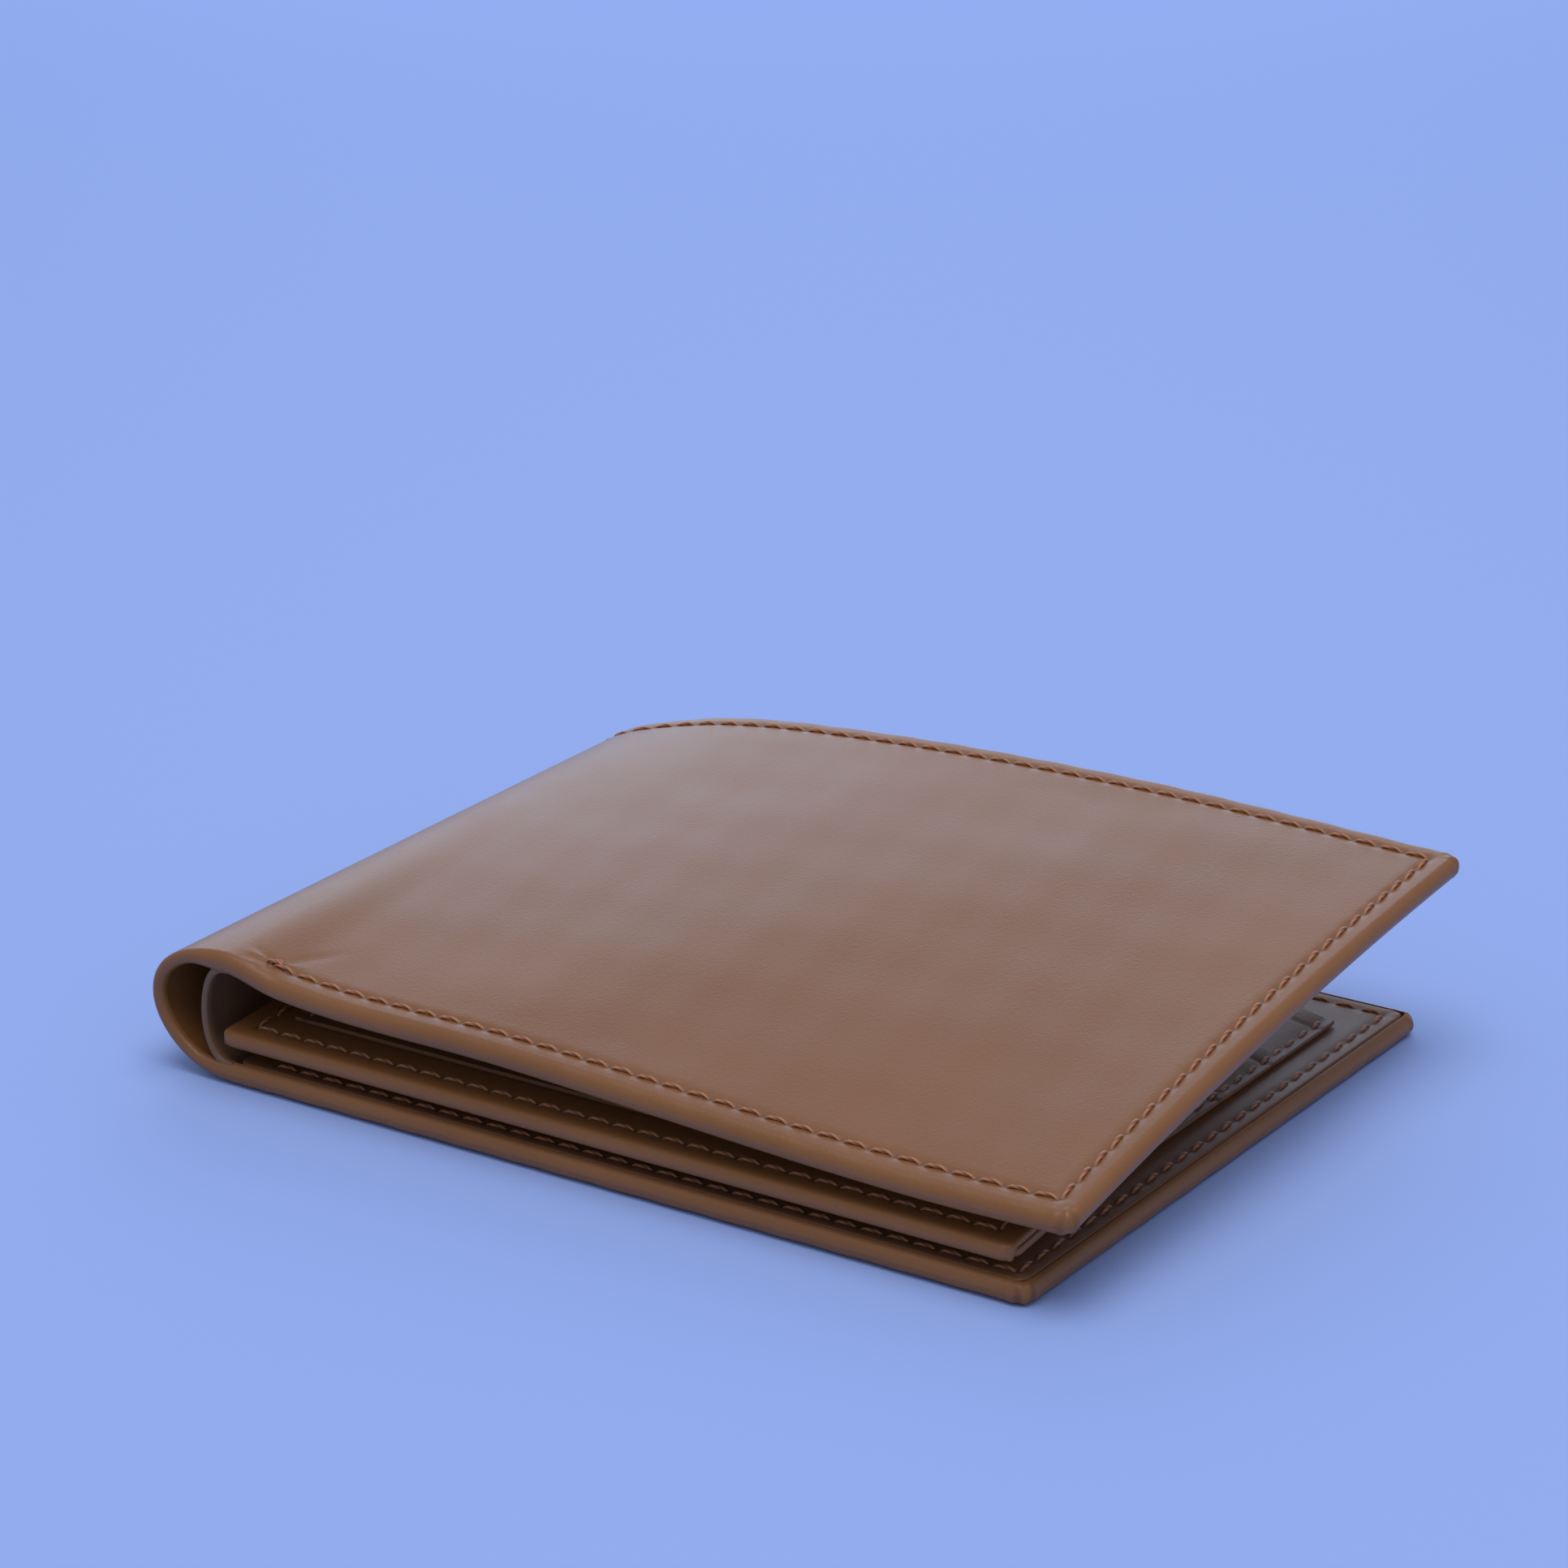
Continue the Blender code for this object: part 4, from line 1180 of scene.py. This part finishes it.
def window_film():
    (left, low, _), (right, high, _) = node_box("flap_window_film")
    thick = 0.3

    def face(x, y, side):
        out_x, z = flap_layer(x, y, FLAP_STACK / 2 + (thick / 2 if side else -thick / 2))
        return out_x, y, z

    def distance(x, y):
        return np.minimum(np.minimum(x - left, right - x), np.minimum(y - low, high - y))

    columns, rows = lines(left, right, 3.0), lines(low, high, 3.0)
    data = grid_mesh("window_film", columns, rows, face, plain_marks(distance))
    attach(add_piece("window_film", data, film_material(), "window_film", "flap_window_film"), "flap")


def hinge_web():
    """Thin leather web: sewn under the front card panel, it is shaped to fall into the flap at its hinge."""
    left, right = FLAP_LEFT_X + 3.0, FLAP_RIGHT_X - 0.4
    inner_y = FLAP_FAR_Y - WEB_TONGUE
    seam_y = STRIP_FAR_Y - 1.0

    def panel_side(x, y, depth):
        return front_layer(x, y, RIM_STACK + depth)

    def face(x, y, side):
        fallen = ease(seam_y - 0.4, HINGE_Y - 0.1, y)
        new_x, high = panel_side(x, y, 0.06 + WEB_THICK / 2)
        low = flap_height(x, np.minimum(y, HINGE_Y))
        steep = 1 + 2.4 * fallen * (1 - fallen)
        half_thick = WEB_THICK / 2 * steep - edge_drop(STRIP_FAR_Y - y, 0.28)
        z = lerp(high, low, fallen) + (half_thick if side == 0 else -half_thick)
        return lerp(new_x, x, fallen), y, z

    def distance(x, y):
        return np.minimum(np.minimum(x - left, right - x), STRIP_FAR_Y - y)

    columns = lines(left, right, 2.0)
    rows = lines(inner_y, STRIP_FAR_Y, 0.25, [HINGE_Y, FLAP_FAR_Y], round_lines(STRIP_FAR_Y, -1, 0.28))
    data = grid_mesh("flap_hinge_web", columns, rows, face, plain_marks(distance))
    piece = add_piece("flap_hinge_web", data, card_leather(), "card_leather", "flap_hinge_strip")
    middle = (left + right) / 2
    z = float(flap_height(middle, HINGE_Y))
    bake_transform(piece)
    seam = counted(Run("y", seam_y + 0.1, left + 1.0, right - 1.0))
    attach(stitching("hinge_web_stitches", seam, panel_side, 0.06 + WEB_THICK, -1, 0.07), "front_half")


# Stitches

RINGS = 9
SIDES = 8


def holes(run, count, layer, depth, outward):
    """Places of a run's holes, and the way out of the leather there."""
    along = np.linspace(run.start, run.end, count + 1)
    held = np.full(count + 1, run.value)
    c, y = (along, held) if run.holds == "y" else (held, along)
    x, z = layer(c, y, np.full(count + 1, depth))
    x2, z2 = layer(c, y, np.full(count + 1, depth + 1.0))
    out = np.stack([x - x2, 0 * x, z - z2], axis=-1) * outward
    return np.stack([x, y, z], axis=-1), out / np.linalg.norm(out, axis=1, keepdims=True)


def stitch_shapes(places, outs, rise, thick):
    """Points of every stitch of a run, as rings round a thread that dives into a hole at both ends."""
    first, last = places[:-1], places[1:]
    out = outs[:-1] + outs[1:]
    out /= np.linalg.norm(out, axis=1, keepdims=True)
    along = last - first
    length = np.linalg.norm(along, axis=1, keepdims=True)
    along = along / length
    across = np.cross(out, along)
    ring, turn = np.meshgrid(np.linspace(0, 1, RINGS), np.arange(SIDES) * 2 * math.pi / SIDES, indexing="ij")
    bow = 1 - np.abs(2 * ring - 1) ** 3
    ply = np.cos(2 * turn - 2 * math.pi * 2.2 * ring)
    radius = thick / 2 * (0.74 + 0.26 * bow) * (1 + 0.13 * ply)
    sideways = 0.17 * (2 * ring - 1) + radius * np.cos(turn)
    height = (rise + 0.42) * bow - 0.42 + 0.9 * radius * np.sin(turn)
    steps = 0.03 + 0.94 * ring

    def spread(values, directions):
        return values[None, ..., None] * directions[:, None, None, :]

    points = first[:, None, None, :] + spread(steps, along * length) + spread(sideways, across) + spread(height, out)
    tips = np.abs(2 * ring - 1) ** 5
    return points.reshape(-1, 3), np.tile((0.5 + 0.5 * ply).ravel(), len(first)), np.tile(tips.ravel(), len(first))


def stitch_faces(count):
    ring, side = np.meshgrid(np.arange(RINGS - 1), np.arange(SIDES), indexing="ij")
    around = (side + 1) % SIDES
    corners = [ring * SIDES + side, ring * SIDES + around, (ring + 1) * SIDES + around, (ring + 1) * SIDES + side]
    one = np.stack(corners, axis=-1).reshape(-1, 4)
    faces = []
    for k in range(count):
        base = k * RINGS * SIDES
        faces += (one + base).tolist()
        faces.append(list(range(base, base + SIDES)))
        faces.append(list(range(base + (RINGS - 1) * SIDES, base + RINGS * SIDES)))
    return faces


def stitching(name, seams, layer, depth, outward, rise, *nodes):
    """One piece with all the stitches of these counted runs on one face."""
    parts = [
        stitch_shapes(*holes(run, count, layer, depth, outward), rise, sizes().thread / MM) for run, count in seams
    ]
    points, plies, tips = (np.concatenate(column) for column in zip(*parts))
    data = bpy.data.meshes.new(name)
    faces = stitch_faces(len(points) // (RINGS * SIDES))
    data.from_pydata((points * MM).tolist(), [], faces)
    for label, values in (("ply", plies), ("tip", tips)):
        data.attributes.new(label, "FLOAT", "POINT").data.foreach_set("value", values.astype(np.float32))
    return add_piece(name, finished_mesh(data), thread_material(), "thread", *nodes)


def all_stitching(spine_lengths):
    proud, flush = 0.07, -0.27
    for half, rise in ((BACK, flush), (FRONT, proud)):
        body, name = half.name + "_half", half.name
        node_name = name + "_seam_thread"
        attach(stitching(name + "_seam_stitches", leaf_runs(half), half.layer, 0.0, 1, rise, node_name), body)
        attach(stitching(name + "_card_stitches", panel_runs(half), half.layer, RIM_STACK, -1, proud), body)
    backtack = [(Run("y", NEAR_STITCH + 0.35 * k, SEAM_X - 0.9 + 0.7 * k, SEAM_X + 1.9 - 0.4 * k), 1) for k in (0, 1)]
    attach(stitching("front_backtack", backtack, FRONT.layer, 0.0, 1, 0.32), "front_half")
    for number, (start, end, blend) in enumerate(spine_lengths, 1):
        nodes = [f"spine_hem_thread_{number}"] if number < JOINTS else []
        name = f"spine_hem_stitches_{number}"
        piece = stitching(name, [hem_run(start, end)], spine_layer, 0.0, 1, proud if number > 1 else flush, *nodes)
        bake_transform(piece)
    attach(stitching("flap_top_stitches", flap_runs(), flap_layer, 0.0, 1, proud, "flap_seam_thread"), "flap")
    under = flap_runs() + window_runs()
    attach(stitching("flap_under_stitches", under, flap_layer, FLAP_STACK, -1, proud), "flap")


# Stage


ROOM_COLOUR = (0.58, 0.73, 1.0, 1.0)
ROOM_STRENGTH = 0.42
# Name, place and target in metres, side in metres, power in watts, colour
LIGHTS = (
    ("window_light", (-0.62, 0.95, 0.40), (0.0, 0.0, 0.01), 0.8, 3.1, (0.66, 0.80, 1.0)),
    ("ceiling_light", (0.1, -0.1, 1.1), (0.0, 0.0, 0.0), 0.9, 6.4, (0.92, 0.95, 1.0)),
    ("room_fill", (0.7, -0.7, 0.5), (0.0, 0.0, 0.01), 0.8, 0.4, (1.0, 0.96, 0.92)),
)


def area_light(name, place, target, size, power, colour):
    data = bpy.data.lights.new(name, "AREA")
    data.shape = "SQUARE"
    data.size = size
    data.energy = power
    data.color = colour
    light = bpy.data.objects.new(name, data)
    light.location = Vector(place)
    light.rotation_euler = (Vector(target) - light.location).to_track_quat("-Z", "Y").to_euler()
    bpy.context.scene.collection.objects.link(light)


def floor():
    mesh = bmesh.new()
    bmesh.ops.create_circle(mesh, cap_ends=True, segments=96, radius=3.0)
    data = bpy.data.meshes.new("floor")
    mesh.to_mesh(data)
    mesh.free()
    piece = bpy.data.objects.new("floor", data)
    piece.location.z = -0.02 * MM
    bpy.context.scene.collection.objects.link(piece)
    material, tree, shader = new_material("pale_floor")
    paper = node(tree, "ShaderNodeTexNoise")
    put(paper, Scale=420.0, Detail=5.0)
    relief = node(tree, "ShaderNodeBump")
    put(relief, Strength=0.12, Distance=0.1 * MM)
    place = node(tree, "ShaderNodeTexCoord")
    tree.links.new(place.outputs["Object"], paper.inputs["Vector"])
    tree.links.new(paper.outputs["Fac"], relief.inputs["Height"])
    tree.links.new(relief.outputs["Normal"], shader.inputs["Normal"])
    shader.inputs["Base Color"].default_value = shade(colours().floor, 1.0)
    shader.inputs["Roughness"].default_value = 0.85
    data.materials.append(material)


def stage():
    floor()
    world = bpy.data.worlds.new("soft_room")
    world.use_nodes = True
    world.node_tree.nodes["Background"].inputs["Color"].default_value = ROOM_COLOUR
    world.node_tree.nodes["Background"].inputs["Strength"].default_value = ROOM_STRENGTH
    bpy.context.scene.world = world
    for light in LIGHTS:
        area_light(*light)
    data = bpy.data.cameras.new("camera")
    data.lens = LENS
    data.sensor_width = SENSOR
    data.clip_start = 10 * MM
    camera = bpy.data.objects.new("camera", data)
    camera.location = Vector(CAMERA) * MM
    look = (Vector(CAMERA_TARGET) - Vector(CAMERA)).to_track_quat("-Z", "Y")
    camera.rotation_euler = look.to_euler()
    bpy.context.scene.collection.objects.link(camera)
    bpy.context.scene.camera = camera
    bpy.context.scene.view_settings.view_transform = "Standard"


# Operators and panel


class WALLET_OT_leather(bpy.types.Operator):
    """Make both covers and the curved spine, with their stitching"""

    bl_idname = "wallet.leather"
    bl_label = "Covers and stitching"

    def execute(self, context):
        for half in HALVES:
            leaf_leather(half)
        all_stitching(spine_leather())
        return {"FINISHED"}


class WALLET_OT_divider(bpy.types.Operator):
    """Make the divider of the bill compartment"""

    bl_idname = "wallet.divider"
    bl_label = "Divider"

    def execute(self, context):
        divider()
        return {"FINISHED"}


class WALLET_OT_card_sides(bpy.types.Operator):
    """Make the card panels and slots of both halves"""

    bl_idname = "wallet.card_sides"
    bl_label = "Card sides"

    def execute(self, context):
        card_sides()
        return {"FINISHED"}


class WALLET_OT_flap(bpy.types.Operator):
    """Make the flap with its window, slots and hinge web"""

    bl_idname = "wallet.flap"
    bl_label = "Flap"

    def execute(self, context):
        flap_upper()
        flap_lower()
        window_film()
        hinge_web()
        for number in (1, 2):
            slot_leather(f"flap_card_slot_{number}", over_flap, CLEARANCE, "flap")
        return {"FINISHED"}


class WALLET_OT_stage(bpy.types.Operator):
    """Make the floor, the soft light and the camera"""

    bl_idname = "wallet.stage"
    bl_label = "Stage"

    def execute(self, context):
        stage()
        return {"FINISHED"}


OPERATORS = (
    WALLET_OT_leather,
    WALLET_OT_divider,
    WALLET_OT_card_sides,
    WALLET_OT_flap,
    WALLET_OT_stage,
)


class WALLET_PT_panel(bpy.types.Panel):
    """Sizes, colours and pieces of the wallet"""

    bl_label = "Wallet"
    bl_idname = "WALLET_PT_panel"
    bl_space_type = "VIEW_3D"
    bl_region_type = "UI"
    bl_category = "Wallet"

    def draw(self, context):
        for settings in (context.scene.wallet_sizes, context.scene.wallet_colours):
            for key in settings.__annotations__:
                self.layout.prop(settings, key)
        for operator in OPERATORS:
            self.layout.operator(operator.bl_idname)


CLASSES = (WalletSizes, WalletColours, *OPERATORS, WALLET_PT_panel)


def register():
    for made in CLASSES:
        bpy.utils.register_class(made)
    bpy.types.Scene.wallet_sizes = PointerProperty(type=WalletSizes)
    bpy.types.Scene.wallet_colours = PointerProperty(type=WalletColours)


def unregister():
    del bpy.types.Scene.wallet_colours
    del bpy.types.Scene.wallet_sizes
    for made in reversed(CLASSES):
        bpy.utils.unregister_class(made)


def main():
    register()
    bpy.ops.wallet.leather()
    bpy.ops.wallet.divider()
    bpy.ops.wallet.card_sides()
    bpy.ops.wallet.flap()
    bpy.ops.wallet.stage()


if __name__ == "__main__":
    main()
